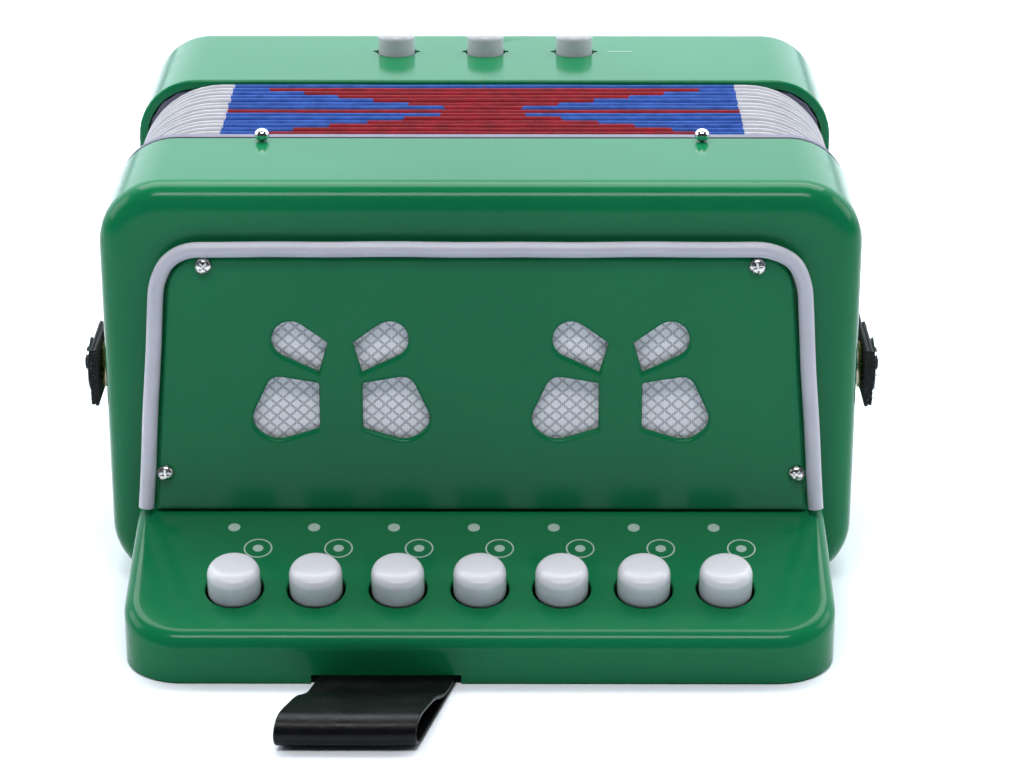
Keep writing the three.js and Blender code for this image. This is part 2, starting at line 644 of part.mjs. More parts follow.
function sideStraps() {
  const stations = 16;
  const tip = trebleFace + sideStrap.tipDepth;
  const low = snap.height - sideStrap.width / 2;
  const high = snap.height + sideStrap.width / 2;
  const wall = casing.halfWidth;
  for (const side of [-1, 1]) {
    const word = side < 0 ? 'left' : 'right';
    const inner = [];
    const outer = [];
    for (let k = 0; k <= stations; k += 1) {
      const y = hingeY + (tip - hingeY) * (k / stations);
      const x = wall + strapStand(y);
      const thick = y < snapY + 9 ? sideStrap.doubled : sideStrap.thick;
      inner.push(new THREE.Vector2(side * x, y));
      outer.push(new THREE.Vector2(side * (x + thick), y));
    }
    const out = new THREE.Vector3(side, 0, 0);
    const centre = (stand) => [side * (wall + stand), snapY, snap.height];
    const strap = extrudeZ(new THREE.Shape([...inner, ...outer.reverse()]), low, high)
      .subtract(rod(1.7, centre(0), centre(8), 16));
    piece(`side_strap_${word}`, strap, 'leather');
    const stand = sideStrap.stand;
    const cap = stand + sideStrap.doubled + GAP;
    const button = [
      [0, stand - 1.0], [5.4, stand - 1.0], [5.4, stand - GAP], [1.3, stand - GAP], [1.3, cap],
      [snap.radius - 0.4, cap], [snap.radius, cap + 0.5], [snap.radius - 0.3, cap + 1.2],
      [snap.radius - 2, cap + 1.8], [0, cap + snap.cap],
    ];
    piece(`snap_cap_${word}`, turned(button, centre(0), out), 'chrome');
    const stud = [[0, 0.12], [4.6, 0.12], [4.4, 0.5], [2.2, 0.6], [2.0, 1.0], [0, stand - 1.0 - GAP]];
    piece(`snap_stud_${word}`, turned(stud, centre(0), out), 'chrome');
    const keeper = roundedPolygon([
      [wall + 0.12, hingeY + GAP, 0], [wall + 0.12, hingeY + 8, 0], [wall + 1.8, hingeY + 8, 1],
      [wall + 2, hingeY + GAP, 0.5],
    ].map(([x, y, radius]) => [side * x, y, radius]));
    piece(`strap_keeper_${word}`, extrudeZ(keeper, low - 1.5, high + 1.5, 3), 'chrome');
  }
}

// The hand strap across the bass end, held by a plate over each end.
function bassHandStrap() {
  const flat = 13;
  const stations = 20;
  const low = casing.height / 2 - handStrap.width / 2;
  const high = casing.height / 2 + handStrap.width / 2;
  const inner = [];
  const outer = [];
  for (let k = 0; k <= stations; k += 1) {
    const x = handStrap.halfLength * (2 * (k / stations) - 1);
    const t = THREE.MathUtils.clamp((handStrap.halfLength - flat - Math.abs(x)) / 30, 0, 1);
    const y = bassEnd + GAP + (handStrap.rise - handStrap.thick - GAP) * t * t * (3 - 2 * t);
    inner.push(new THREE.Vector2(x, y));
    outer.push(new THREE.Vector2(x, y + handStrap.thick));
  }
  piece('bass_hand_strap', extrudeZ(new THREE.Shape([...inner, ...outer.reverse()]), low, high), 'leather');
  for (const side of [-1, 1]) {
    const near = bassEnd + 2 * GAP + handStrap.thick;
    const middle = side * (handStrap.halfLength - 4);
    const name = `hand_strap_plate_${side < 0 ? 'left' : 'right'}`;
    piece(name, box(middle - 6, middle + 6, near, near + 1.2, low - 2, high + 2), 'chrome');
  }
}

trebleCasing();
grillePanel();
panelPiping();
fingerboard();
trebleAction();
trebleInside();
bellowsParts();
bassCasing();
bassAction();
thumbLoop();
sideStraps();
bassHandStrap();

export default accordion;
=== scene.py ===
"""The toy button accordion's visual model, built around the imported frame."""

import json
import math
import random

import bmesh
import bpy
from mathutils import Matrix, Vector


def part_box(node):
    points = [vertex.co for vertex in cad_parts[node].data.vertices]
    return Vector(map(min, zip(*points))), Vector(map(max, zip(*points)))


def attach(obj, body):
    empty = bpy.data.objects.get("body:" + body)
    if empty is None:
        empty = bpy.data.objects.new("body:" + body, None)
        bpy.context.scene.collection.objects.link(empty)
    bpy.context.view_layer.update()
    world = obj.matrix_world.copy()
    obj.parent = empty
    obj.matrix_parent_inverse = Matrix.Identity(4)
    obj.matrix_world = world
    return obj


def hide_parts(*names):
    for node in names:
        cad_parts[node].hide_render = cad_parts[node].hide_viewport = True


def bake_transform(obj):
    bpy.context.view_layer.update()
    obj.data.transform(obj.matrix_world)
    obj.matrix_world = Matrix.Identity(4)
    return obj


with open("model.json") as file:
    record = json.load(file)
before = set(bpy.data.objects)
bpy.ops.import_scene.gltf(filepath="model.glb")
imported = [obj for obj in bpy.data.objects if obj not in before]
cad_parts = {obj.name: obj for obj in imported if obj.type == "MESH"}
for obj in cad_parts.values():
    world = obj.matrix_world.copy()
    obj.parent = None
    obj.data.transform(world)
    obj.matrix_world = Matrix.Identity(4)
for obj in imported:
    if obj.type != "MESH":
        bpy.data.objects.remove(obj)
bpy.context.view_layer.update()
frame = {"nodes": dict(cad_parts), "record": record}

MM = 0.001

# ---------- places taken from the frame ----------

TREBLE_LOW, TREBLE_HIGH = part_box("treble_casing")
BASS_LOW, BASS_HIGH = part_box("bass_casing")
SHELF_LOW, SHELF_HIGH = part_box("fingerboard_cover")
PANEL_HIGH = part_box("grille_panel")[1]
FACE_Y = TREBLE_LOW.y
REAR_Y = TREBLE_HIGH.y
RIM_Y = BASS_LOW.y
END_Y = BASS_HIGH.y
HALF_WIDTH = TREBLE_HIGH.x
HEIGHT = TREBLE_HIGH.z
CORNER = 15 * MM
EDGE = 6 * MM
WALL = 2.2 * MM
BELLOWS_CORNER = 22 * MM
SHELF_TILT = math.radians(15.5)
SHELF_MEETS_PANEL = 23 * MM
SHELF_BACK = Vector((0, FACE_Y - 7 * MM, SHELF_MEETS_PANEL))
SHELF_NORMAL = Vector((0, -math.sin(SHELF_TILT), math.cos(SHELF_TILT)))
PANEL_LEAN = math.atan(5.1 / 61.2)
PANEL_PROUD = 7.5 * MM


def shelf_top(y):
    return SHELF_BACK.z + (y - SHELF_BACK.y) * math.tan(SHELF_TILT)


def panel_front(z):
    return FACE_Y - PANEL_PROUD + (z - SHELF_MEETS_PANEL) * math.tan(PANEL_LEAN)


def centre(node):
    low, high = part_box(node)
    return (low + high) / 2


# ---------- node materials ----------


class Nodes:
    """A small helper that adds and links shader nodes."""

    def __init__(self, name):
        self.material = bpy.data.materials.new(name)
        self.material.use_nodes = True
        self.tree = self.material.node_tree
        self.shader = self.tree.nodes["Principled BSDF"]

    def add(self, kind, inputs=None, **settings):
        node = self.tree.nodes.new(kind)
        for key, value in settings.items():
            setattr(node, key, value)
        for key, value in (inputs or {}).items():
            if isinstance(value, bpy.types.NodeSocket):
                self.tree.links.new(value, node.inputs[key])
            else:
                node.inputs[key].default_value = value
        return node

    def place(self):
        return self.add("ShaderNodeTexCoord").outputs["Object"]

    def noise(self, scale, detail=2.0, roughness=0.5, vector=None):
        inputs = {"Scale": scale, "Detail": detail, "Roughness": roughness, "Vector": vector or self.place()}
        return self.add("ShaderNodeTexNoise", inputs).outputs["Fac"]

    def voronoi(self, scale, feature="F1"):
        inputs = {"Scale": scale, "Vector": self.place()}
        return self.add("ShaderNodeTexVoronoi", inputs, feature=feature).outputs["Distance"]

    def math(self, operation, first, second=0.0, third=0.0):
        return self.add("ShaderNodeMath", {0: first, 1: second, 2: third}, operation=operation).outputs[0]

    def map(self, value, low, high, from_low=0.0, from_high=1.0):
        inputs = {"Value": value, "From Min": from_low, "From Max": from_high, "To Min": low, "To Max": high}
        return self.add("ShaderNodeMapRange", inputs).outputs["Result"]

    def mix(self, factor, first, second, blend_type="MIX"):
        node = self.add("ShaderNodeMix", {"Factor": factor}, data_type="RGBA", blend_type=blend_type)
        for socket, value in ((node.inputs[6], first), (node.inputs[7], second)):
            if isinstance(value, bpy.types.NodeSocket):
                self.tree.links.new(value, socket)
            else:
                socket.default_value = (*value, 1.0)
        return node.outputs[2]

    def bump(self, height, strength, distance):
        inputs = {"Strength": strength, "Distance": distance, "Height": height}
        self.link(self.add("ShaderNodeBump", inputs).outputs["Normal"], "Normal")

    def link(self, output, socket):
        self.tree.links.new(output, self.shader.inputs[socket])

    def set(self, **values):
        for key, value in values.items():
            self.shader.inputs[key.replace("_", " ")].default_value = value


def glossy_plastic(name, colour, deep, roughness=0.14, ripple=0.02, gloss=0.13):
    """Injection-moulded gloss plastic: faint flow marks, dust-fine speckle and slow ripple in the gloss."""
    m = Nodes(name)
    broad = m.noise(14, 3)
    tint = m.mix(m.map(broad, 0.0, 1.0, 0.3, 0.7), deep, colour)
    specks = m.map(m.noise(1900, 1), 0, 1, 0.74, 0.8)
    pale = tuple(min(1, c * 2.2 + 0.03) for c in colour)
    m.link(m.mix(m.math("MULTIPLY", specks, 0.12), tint, pale), "Base Color")
    scuffs = m.map(m.noise(160, 4, 0.65), roughness * 0.8, roughness * 1.5, 0.35, 0.75)
    m.link(scuffs, "Roughness")
    m.bump(m.noise(42, 2), ripple, 0.4 * MM)
    m.set(Specular_IOR_Level=gloss)
    return m.material


def metal(name, colour, roughness=0.08, grain=260):
    m = Nodes(name)
    dull = tuple(c * 0.86 for c in colour)
    m.link(m.mix(m.map(m.noise(grain, 3), 0, 1, 0.3, 0.7), colour, dull), "Base Color")
    stretched = m.add("ShaderNodeMapping", {"Vector": m.place(), "Scale": (1.0, 1.0, 7.0)}).outputs["Vector"]
    m.link(m.map(m.noise(900, 3, 0.6, stretched), roughness * 0.6, roughness * 2.2, 0.3, 0.8), "Roughness")
    m.bump(m.noise(1400, 2), 0.04, 0.05 * MM)
    m.set(Metallic=1.0)
    return m.material


def soft_vinyl():
    m = Nodes("piping_vinyl")
    mottle = m.map(m.noise(55, 3), 0, 1, 0.3, 0.75)
    m.link(m.mix(mottle, (0.40, 0.40, 0.46), (0.47, 0.47, 0.54)), "Base Color")
    m.link(m.map(m.noise(500, 3), 0.32, 0.5), "Roughness")
    m.bump(m.noise(700, 3), 0.12, 0.12 * MM)
    m.set(Subsurface_Weight=0.06, Subsurface_Scale=0.8 * MM)
    return m.material


def leather():
    """Thin black strap leather: pebble grain, soft sheen and lighter patches in a random mottle."""
    m = Nodes("strap_leather")
    grain = m.voronoi(1500, "SMOOTH_F1")
    worn = m.map(m.noise(90, 4, 0.6), 0, 1, 0.45, 0.85)
    m.link(m.mix(worn, (0.0015, 0.0015, 0.002), (0.005, 0.005, 0.0065)), "Base Color")
    m.link(m.map(m.noise(220, 3), 0.3, 0.46, 0.3, 0.7), "Roughness")
    m.bump(m.math("ADD", grain, m.noise(420, 3)), 0.28, 0.12 * MM)
    m.set(Specular_IOR_Level=0.16)
    return m.material


def webbing():
    """Black ribbed elastic: fine ribs across the strap and cord lines along it."""
    m = Nodes("elastic_webbing")
    parts = m.add("ShaderNodeSeparateXYZ", {0: m.place()})
    ribs = m.math("SINE", m.math("MULTIPLY", parts.outputs["Y"], 2 * math.pi / (0.75 * MM)))
    cords = m.math("SINE", m.math("MULTIPLY", parts.outputs["Z"], 2 * math.pi / (0.9 * MM)))
    weave = m.math("MULTIPLY", ribs, cords)
    m.link(m.mix(m.map(weave, 0, 1, -1, 1), (0.002, 0.002, 0.0025), (0.010, 0.010, 0.012)), "Base Color")
    m.link(m.map(m.noise(600, 2), 0.62, 0.82), "Roughness")
    m.bump(m.math("ADD", weave, m.math("MULTIPLY", m.noise(1500, 2), 0.8)), 0.45, 0.12 * MM)
    m.set(Sheen_Weight=0.05, Sheen_Roughness=0.4, Specular_IOR_Level=0.3)
    return m.material


def grille_weave():
    """Silvery cloth woven in small diamonds, edged by rows of dark dots, with fine vertical threads."""
    m = Nodes("grille_weave")
    parts = m.add("ShaderNodeSeparateXYZ", {0: m.place()})
    across, up = parts.outputs["X"], parts.outputs["Z"]
    u = m.math("DIVIDE", across, 3.15 * MM)
    v = m.math("DIVIDE", up, 2.85 * MM)
    lines = []
    for operation in ("ADD", "SUBTRACT"):
        phase = m.math("FRACT", m.math("ADD", m.math(operation, u, v), 40.0))
        away = m.math("ABSOLUTE", m.math("SUBTRACT", phase, 0.5))
        lines.append(m.map(away, 0, 1, 0.345, 0.40))
    edge = m.math("MAXIMUM", *lines)
    pitch = 0.62 * MM
    dots = m.math(
        "MULTIPLY",
        m.math("SINE", m.math("MULTIPLY", m.math("ADD", across, up), 2 * math.pi / pitch)),
        m.math("SINE", m.math("MULTIPLY", m.math("SUBTRACT", across, up), 2 * math.pi / pitch)),
    )
    dark = m.math("MULTIPLY", edge, m.map(dots, 0, 1, -0.15, 0.25))
    thread = m.map(m.math("SINE", m.math("MULTIPLY", across, 2 * math.pi / (0.52 * MM))), 0.0, 0.45, -1, 1)
    light = m.mix(thread, (0.80, 0.80, 0.86), (0.52, 0.52, 0.60))
    m.link(m.mix(m.math("MULTIPLY", dark, 0.93), light, (0.03, 0.03, 0.06)), "Base Color")
    m.link(m.map(m.noise(500, 2), 0.42, 0.62), "Roughness")
    m.bump(m.math("SUBTRACT", m.math("MULTIPLY", thread, -1.0), dark), 0.5, 0.12 * MM)
    m.set(Sheen_Weight=0.2)
    return m.material


WHITE_FROM = 62.7 * MM
UV_SPAN = 0.2


def bellows_cloth():
    """Printed bellows cloth: the map holds the place across, and how far the red reaches on that fold."""
    m = Nodes("bellows_cloth")
    uv = m.add("ShaderNodeUVMap", uv_map="pattern")
    parts = m.add("ShaderNodeSeparateXYZ", {0: uv.outputs["UV"]})
    centred = m.math("SUBTRACT", parts.outputs["X"], 0.5)
    distance = m.math("MULTIPLY", m.math("ABSOLUTE", centred), UV_SPAN)
    reach = m.math("MULTIPLY", parts.outputs["Y"], UV_SPAN)
    ragged = m.map(m.noise(900, 2), -0.35 * MM, 0.35 * MM, 0.25, 0.75)
    place = m.math("ADD", distance, ragged)
    red = m.math("LESS_THAN", place, reach)
    white = m.math("GREATER_THAN", place, WHITE_FROM)
    fibre = m.map(m.noise(260, 4, 0.6), 0.0, 1.0, 0.3, 0.75)
    blues = m.mix(fibre, (0.010, 0.050, 0.25), (0.028, 0.105, 0.42))
    reds = m.mix(fibre, (0.15, 0.001, 0.006), (0.29, 0.002, 0.015))
    whites = m.mix(fibre, (0.40, 0.40, 0.44), (0.50, 0.50, 0.535))
    m.link(m.mix(white, m.mix(red, blues, reds), whites), "Base Color")
    m.link(m.map(m.noise(340, 3), 0.38, 0.55), "Roughness")
    m.bump(m.math("ADD", m.noise(1100, 3), m.noise(150, 3)), 0.22, 0.18 * MM)
    m.set(Specular_IOR_Level=0.12)
    return m.material


def plain_grain(name, dark, light, scale, roughness, bump=0.1):
    """A matt moulded or fibrous surface with mottled colour."""
    m = Nodes(name)
    m.link(m.mix(m.map(m.noise(scale, 4, 0.6), 0, 1, 0.3, 0.72), dark, light), "Base Color")
    m.link(m.map(m.noise(scale * 3, 3), roughness * 0.85, min(1.0, roughness * 1.2)), "Roughness")
    m.bump(m.noise(scale * 5, 3), bump, 0.15 * MM)
    return m.material


def wood_fibre():
    m = Nodes("soundboard_fibre")
    stretched = m.add("ShaderNodeMapping", {"Vector": m.place(), "Scale": (1.0, 1.0, 9.0)}).outputs["Vector"]
    m.link(m.mix(m.noise(240, 5, 0.6, stretched), (0.20, 0.11, 0.05), (0.50, 0.34, 0.18)), "Base Color")
    m.link(m.map(m.noise(400, 3), 0.5, 0.75), "Roughness")
    m.bump(m.noise(700, 4, 0.5, stretched), 0.2, 0.15 * MM)
    return m.material


LOOK = {
    "green": glossy_plastic("green_shell", (0.0055, 0.150, 0.056), (0.004, 0.128, 0.047)),
    "white": glossy_plastic(
        "button_white", (0.56, 0.56, 0.605), (0.52, 0.52, 0.57), roughness=0.2, gloss=0.4
    ),
    "lever": plain_grain("lever_plastic", (0.55, 0.55, 0.52), (0.70, 0.69, 0.65), 90, 0.42),
    "piping": soft_vinyl(),
    "leather": leather(),
    "webbing": webbing(),
    "grille": grille_weave(),
    "bellows": bellows_cloth(),
    "chrome": metal("chrome_hardware", (0.80, 0.80, 0.81)),
    "nickel": metal("nickel_screws", (0.62, 0.61, 0.59), roughness=0.2),
    "brass": metal("reed_brass", (0.66, 0.44, 0.17), roughness=0.2),
    "frame": plain_grain("bellows_frame_plastic", (0.105, 0.095, 0.15), (0.14, 0.13, 0.20), 120, 0.5),
    "foam": plain_grain("gasket_foam", (0.006, 0.006, 0.009), (0.016, 0.016, 0.022), 900, 0.85, 0.3),
    "board": wood_fibre(),
    "thread": plain_grain("strap_thread", (0.01, 0.01, 0.012), (0.04, 0.04, 0.045), 1500, 0.8, 0.4),
    "print": plain_grain("printed_ink", (0.34, 0.46, 0.41), (0.40, 0.52, 0.47), 500, 0.4, 0.05),
}

# ---------- mesh helpers ----------

SHARP = math.radians(38)


def finish_mesh(name, bm, look, sharp=SHARP):
    """Turns a bmesh into an object with smooth faces and sharp creases."""
    bmesh.ops.remove_doubles(bm, verts=bm.verts, dist=1e-7)
    bmesh.ops.recalc_face_normals(bm, faces=bm.faces)
    for face in bm.faces:
        face.smooth = True
    for edge in bm.edges:
        if len(edge.link_faces) == 2 and edge.calc_face_angle(0) > sharp:
            edge.smooth = False
    mesh = bpy.data.meshes.new(name)
    bm.to_mesh(mesh)
    bm.free()
    piece = bpy.data.objects.new(name, mesh)
    bpy.context.collection.objects.link(piece)
    mesh.materials.append(LOOK[look])
    return piece


def loft_into(bm, rings, cap_start=True, cap_end=True, closed=False):
    """Skins rings of points; closed joins the last ring to the first."""
    rows = [[bm.verts.new(p) for p in ring] for ring in rings]
    pairs = list(zip(rows, rows[1:]))
    if closed:
        pairs.append((rows[-1], rows[0]))
    for near, far in pairs:
        for k in range(len(near)):
            n = (k + 1) % len(near)
            bm.faces.new((near[k], near[n], far[n], far[k]))
    if cap_start and not closed:
        bm.faces.new(rows[0])
    if cap_end and not closed:
        bm.faces.new(rows[-1])
    return rows


def casing_ring(y, inset, corner=CORNER, steps=12, along=12, up=6):
    """A rounded rectangle around the casings at one Y, counter-clockwise from the lower right corner."""
    radius = max(corner - inset, 0.8 * MM)
    half = HALF_WIDTH - inset
    low, high = inset, HEIGHT - inset
    points = []
    corners = [
        (half - radius, low + radius, up),
        (half - radius, high - radius, along),
        (radius - half, high - radius, up),
        (radius - half, low + radius, along),
    ]
    arcs = []
    for quarter, (x, z, _) in enumerate(corners):
        angles = [math.pi / 2 * (quarter - 1 + k / steps) for k in range(steps + 1)]
        arcs.append([Vector((x + radius * math.cos(a), y, z + radius * math.sin(a))) for a in angles])
    for quarter, arc in enumerate(arcs):
        points += arc
        after = arcs[(quarter + 1) % 4][0]
        parts = corners[quarter][2]
        points += [arc[-1].lerp(after, k / parts) for k in range(1, parts)]
    return points


def edge_rings(y, inward, edge, inset, steps=8):
    """Rings that round an end edge: from inside the end face out to the side. inward is +1 at a near end."""
    rings = [casing_ring(y, inset + edge + 12 * MM), casing_ring(y, inset + edge + 0.5 * MM)]
    for k in range(steps + 1):
        angle = math.pi / 2 * k / steps
        at = y + inward * edge * (1 - math.cos(angle))
        rings.append(casing_ring(at, inset + edge * (1 - math.sin(angle))))
    rings.append(casing_ring(y + inward * (edge + 0.6 * MM), inset))
    return rings


def casing_shell(end_y, mouth_y, rim_edge):
    """A moulded box: rounded closed end at end_y, open mouth at mouth_y."""
    inward = 1 if mouth_y > end_y else -1
    rings = edge_rings(end_y, inward, EDGE, 0.0)
    if rim_edge:
        for k in range(5):
            angle = math.pi / 2 * k / 4
            y = mouth_y - inward * rim_edge * (1 - math.sin(angle))
            rings.append(casing_ring(y, rim_edge * (1 - math.cos(angle))))
    else:
        rings.append(casing_ring(mouth_y - inward * 0.25 * MM, 0.0))
        rings.append(casing_ring(mouth_y, 0.2 * MM))
    rings.append(casing_ring(mouth_y, WALL))
    inner = edge_rings(end_y + inward * WALL, inward, EDGE - WALL, WALL)
    rings += reversed(inner)
    bm = bmesh.new()
    loft_into(bm, rings)
    return bm


def turned(profile, at=Vector(), direction=Vector((0, 0, 1)), sides=40, bm=None):
    """Spins [radius, height] pairs, in mm, about a direction."""
    bm = bm or bmesh.new()
    turn = Vector((0, 0, 1)).rotation_difference(direction).to_matrix()
    rows = []
    for radius, height in profile:
        if radius < 1e-6:
            rows.append([bm.verts.new(at + turn @ Vector((0, 0, height * MM)))])
            continue
        row = []
        for k in range(sides):
            angle = 2 * math.pi * k / sides
            point = Vector((radius * math.cos(angle), radius * math.sin(angle), height)) * MM
            row.append(bm.verts.new(at + turn @ point))
        rows.append(row)
    for near, far in zip(rows, rows[1:]):
        for k in range(sides):
            n = (k + 1) % sides
            corners = [near[k % len(near)], near[n % len(near)], far[n % len(far)], far[k % len(far)]]
            unique = list(dict.fromkeys(corners))
            if len(unique) >= 3:
                bm.faces.new(unique)
    return bm


def smooth_profile(points, rounding=0.35, steps=4):
    """Rounds the inner corners of a [radius, height] profile with short arcs."""
    result = [points[0]]
    for before, here, after in zip(points, points[1:], points[2:]):
        b, h, a = Vector(before), Vector(here), Vector(after)
        cut = min(rounding, (b - h).length * 0.45, (a - h).length * 0.45)
        start, end = h + (b - h).normalized() * cut, h + (a - h).normalized() * cut
        for k in range(steps + 1):
            t = k / steps
            p = start * (1 - t) ** 2 + h * 2 * t * (1 - t) + end * t * t
            result.append((p.x, p.y))
    result.append(points[-1])
    return result


def cut(target, cutter):
    """Cuts one closed mesh out of another and removes the cutter."""
    modifier = target.modifiers.new("cut", "BOOLEAN")
    modifier.operation = "DIFFERENCE"
    modifier.solver = "EXACT"
    modifier.object = cutter
    apply_modifiers(target)
    bpy.data.objects.remove(cutter, do_unlink=True)


def apply_modifiers(piece):
    bpy.context.view_layer.update()
    graph = bpy.context.evaluated_depsgraph_get()
    mesh = bpy.data.meshes.new_from_object(piece.evaluated_get(graph))
    piece.modifiers.clear()
    old = piece.data
    piece.data = mesh
    bpy.data.meshes.remove(old)


def resharpen(piece, sharp=SHARP):
    bm = bmesh.new()
    bm.from_mesh(piece.data)
    for face in bm.faces:
        face.smooth = True
    for edge in bm.edges:
        edge.smooth = not (len(edge.link_faces) == 2 and edge.calc_face_angle(0) > sharp)
    bm.to_mesh(piece.data)
    bm.free()


def weigh_normals(piece):
    """Lets the large flat faces set the shading, so that they stay flat beside their rounded edges."""
    modifier = piece.modifiers.new("weigh", "WEIGHTED_NORMAL")
    modifier.mode = "FACE_AREA"
    modifier.weight = 50
    modifier.keep_sharp = True
    apply_modifiers(piece)


def tube(points, radius, sides=12, bm=None):
    """A round bar through points, kept upright frame by frame."""
    bm = bm or bmesh.new()
    rings = []
    normal = None
    for i, point in enumerate(points):
        ahead = points[min(i + 1, len(points) - 1)] - points[max(i - 1, 0)]
        ahead.normalize()
        if normal is None:
            normal = ahead.orthogonal().normalized()
        normal = (normal - ahead * normal.dot(ahead)).normalized()
        side = ahead.cross(normal)
        angles = [2 * math.pi * k / sides for k in range(sides)]
        rings.append([point + (normal * math.cos(a) + side * math.sin(a)) * radius for a in angles])
    loft_into(bm, rings)
    return bm


def band(stations, half_width, axis, edge=0.35 * MM, bm=None):
    """A flat strap: stations are (inner point, outer point) pairs; axis is the width direction."""
    bm = bm or bmesh.new()
    rings = []
    for inner, outer in stations:
        middle = (inner + outer) / 2
        thick = (outer - inner) / 2
        ring = []
        for side, lift in ((-1, -1), (1, -1), (1, 1), (-1, 1)):
            corner = middle + thick * lift + axis * side * half_width
            pull = axis * side * edge
            ease = thick.normalized() * lift * edge
            pair = [corner - ease, corner - pull]
            middle_point = corner - (pull + ease) * 0.3
            order = [pair[0], middle_point, pair[1]] if side * lift > 0 else [pair[1], middle_point, pair[0]]
            ring += order
        rings.append(ring)
    loft_into(bm, rings)
    return bm


def rounded_plate(name, low, high, look, bevel=0.4 * MM, segments=3):
    """A box with all edges rounded."""
    bm = bmesh.new()
    size = high - low
    place = Matrix.Translation((low + high) / 2) @ Matrix.Diagonal((*size, 1))
    bmesh.ops.create_cube(bm, size=1.0, matrix=place)
    bmesh.ops.bevel(bm, geom=list(bm.edges), offset=bevel, segments=segments, affect="EDGES", profile=0.5)
    return finish_mesh(name, bm, look)


def done(piece, body, slot, *nodes):
    """Rides and stands for CAD nodes; the slot is not used."""
    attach(piece, body)
    if nodes:
        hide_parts(*nodes)
    return piece


# ---------- casings ----------


def treble_casing():
    shell = finish_mesh("treble_casing_moulding", casing_shell(FACE_Y, REAR_Y, 0), "green")
    weigh_normals(shell)
    done(shell, "treble", "green_shell", "treble_casing")


def button_place(node):
    low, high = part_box(node)
    return Vector(((low.x + high.x) / 2, (low.y + high.y) / 2, HEIGHT))


BASS_BUTTONS = ("bass_button_1", "bass_button_2", "air_button")


def bass_casing():
    shell = finish_mesh("bass_casing_moulding", casing_shell(END_Y, RIM_Y, 0.9 * MM), "green")
    hole = [(0, -6), (5.1, -6), (5.1, -0.35), (5.2, -0.12), (5.5, 0.02), (5.5, 3), (0, 3)]
    notch = [(0, -6), (0.8, -6), (0.8, 3), (0, 3)]
    for profile, shift, sides in ((hole, 0, 48), (notch, -5.25, 16), (notch, 5.25, 16)):
        bm = bmesh.new()
        for node in BASS_BUTTONS:
            turned(profile, button_place(node) + Vector((shift * MM, 0, 0)), sides=sides, bm=bm)
        cut(shell, finish_mesh("cutter", bm, "green"))
    resharpen(shell)
    weigh_normals(shell)
    done(shell, "bass", "green_shell", "bass_casing")


# ---------- fingerboard ----------

SHELF_HALF = SHELF_HIGH.x
SHELF_FRONT = SHELF_LOW.y
SHELF_CORNER = 14 * MM
SHELF_EDGE = 3 * MM


def shelf_ring(inset, back, height, steps=14, across=16):
    """The fingerboard's plan outline, pulled in, with a height for each Y."""
    half = SHELF_HALF - inset
    front = SHELF_FRONT + inset
    radius = SHELF_CORNER - inset
    left = [Vector((-half, y, 0)) for y in (back, back - 6 * MM, (back + front) / 2)]
    for k in range(steps + 1):
        angle = -math.pi + math.pi / 2 * k / steps
        x = -half + radius + radius * math.cos(angle)
        left.append(Vector((x, front + radius + radius * math.sin(angle), 0)))
    right = [Vector((-p.x, p.y, 0)) for p in reversed(left)]
    between = [left[-1].lerp(right[0], k / across) for k in range(1, across)]
    ring = left + between + right
    for point in ring:
        point.z = height(point.y)
    return ring


def shelf_cover():
    back = SHELF_HIGH.y
    rings = [shelf_ring(0.4 * MM, back, lambda y: 0.0), shelf_ring(0, back, lambda y: 0.5 * MM)]
    steps = 8
    for k in range(steps + 1):
        angle = math.pi / 2 * k / steps
        pull = SHELF_EDGE * (1 - math.cos(angle))
        drop = SHELF_EDGE * (1 - math.sin(angle))
        if k == 0:
            rings.append(shelf_ring(pull, back, lambda y: shelf_top(y) - SHELF_EDGE - 0.6 * MM))
        rings.append(shelf_ring(pull, back, lambda y, drop=drop: shelf_top(y) - drop))
    rings.append(shelf_ring(SHELF_EDGE + 0.6 * MM, back, shelf_top))
    thick = 2 * MM
    inner = [
        shelf_ring(thick + SHELF_EDGE + 0.6 * MM, back, lambda y: shelf_top(y) - thick),
        shelf_ring(thick + 0.5 * MM, back, lambda y: shelf_top(y) - thick - 1.5 * MM),
        shelf_ring(thick, back, lambda y: shelf_top(y) - SHELF_EDGE - thick),
        shelf_ring(thick, back, lambda y: 0.0),
    ]
    bm = bmesh.new()
    rows = loft_into(bm, rings, cap_start=False, cap_end=False)
    inside = loft_into(bm, inner, cap_start=False, cap_end=False)
    bm.faces.new(rows[-1])
    bm.faces.new(inside[0])
    for k in range(len(rows[0])):
        n = (k + 1) % len(rows[0])
        bm.faces.new((rows[0][k], rows[0][n], inside[-1][n], inside[-1][k]))
    return finish_mesh("fingerboard_moulding", bm, "green")


TREBLE_BUTTONS = [f"treble_button_{i}" for i in range(1, 8)]
BUTTON_ROW_Y = FACE_Y - 33 * MM


def button_foot(node):
    low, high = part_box(node)
    return Vector(((low.x + high.x) / 2, BUTTON_ROW_Y, shelf_top(BUTTON_ROW_Y)))


def fingerboard():
    cover = shelf_cover()
    bm = bmesh.new()
    for node in TREBLE_BUTTONS:
        hole = [(0, -7), (6.6, -7), (6.6, -0.45), (6.66, -0.2), (6.85, -0.03), (7.1, 0.06), (7.1, 4), (0, 4)]
        turned(hole, button_foot(node), SHELF_NORMAL, 56, bm)
    low = Vector((-37.5 * MM, SHELF_FRONT - 2 * MM, -1 * MM))
    high = Vector((-4 * MM, SHELF_FRONT + 4 * MM, 2.3 * MM))
    slot_matrix = Matrix.Translation((low + high) / 2) @ Matrix.Diagonal((*(high - low), 1))
    bmesh.ops.create_cube(bm, size=1.0, matrix=slot_matrix)
    cut(cover, finish_mesh("cutter", bm, "green"))
    resharpen(cover)
    weigh_normals(cover)
    done(cover, "treble", "green_shell", "fingerboard_cover")


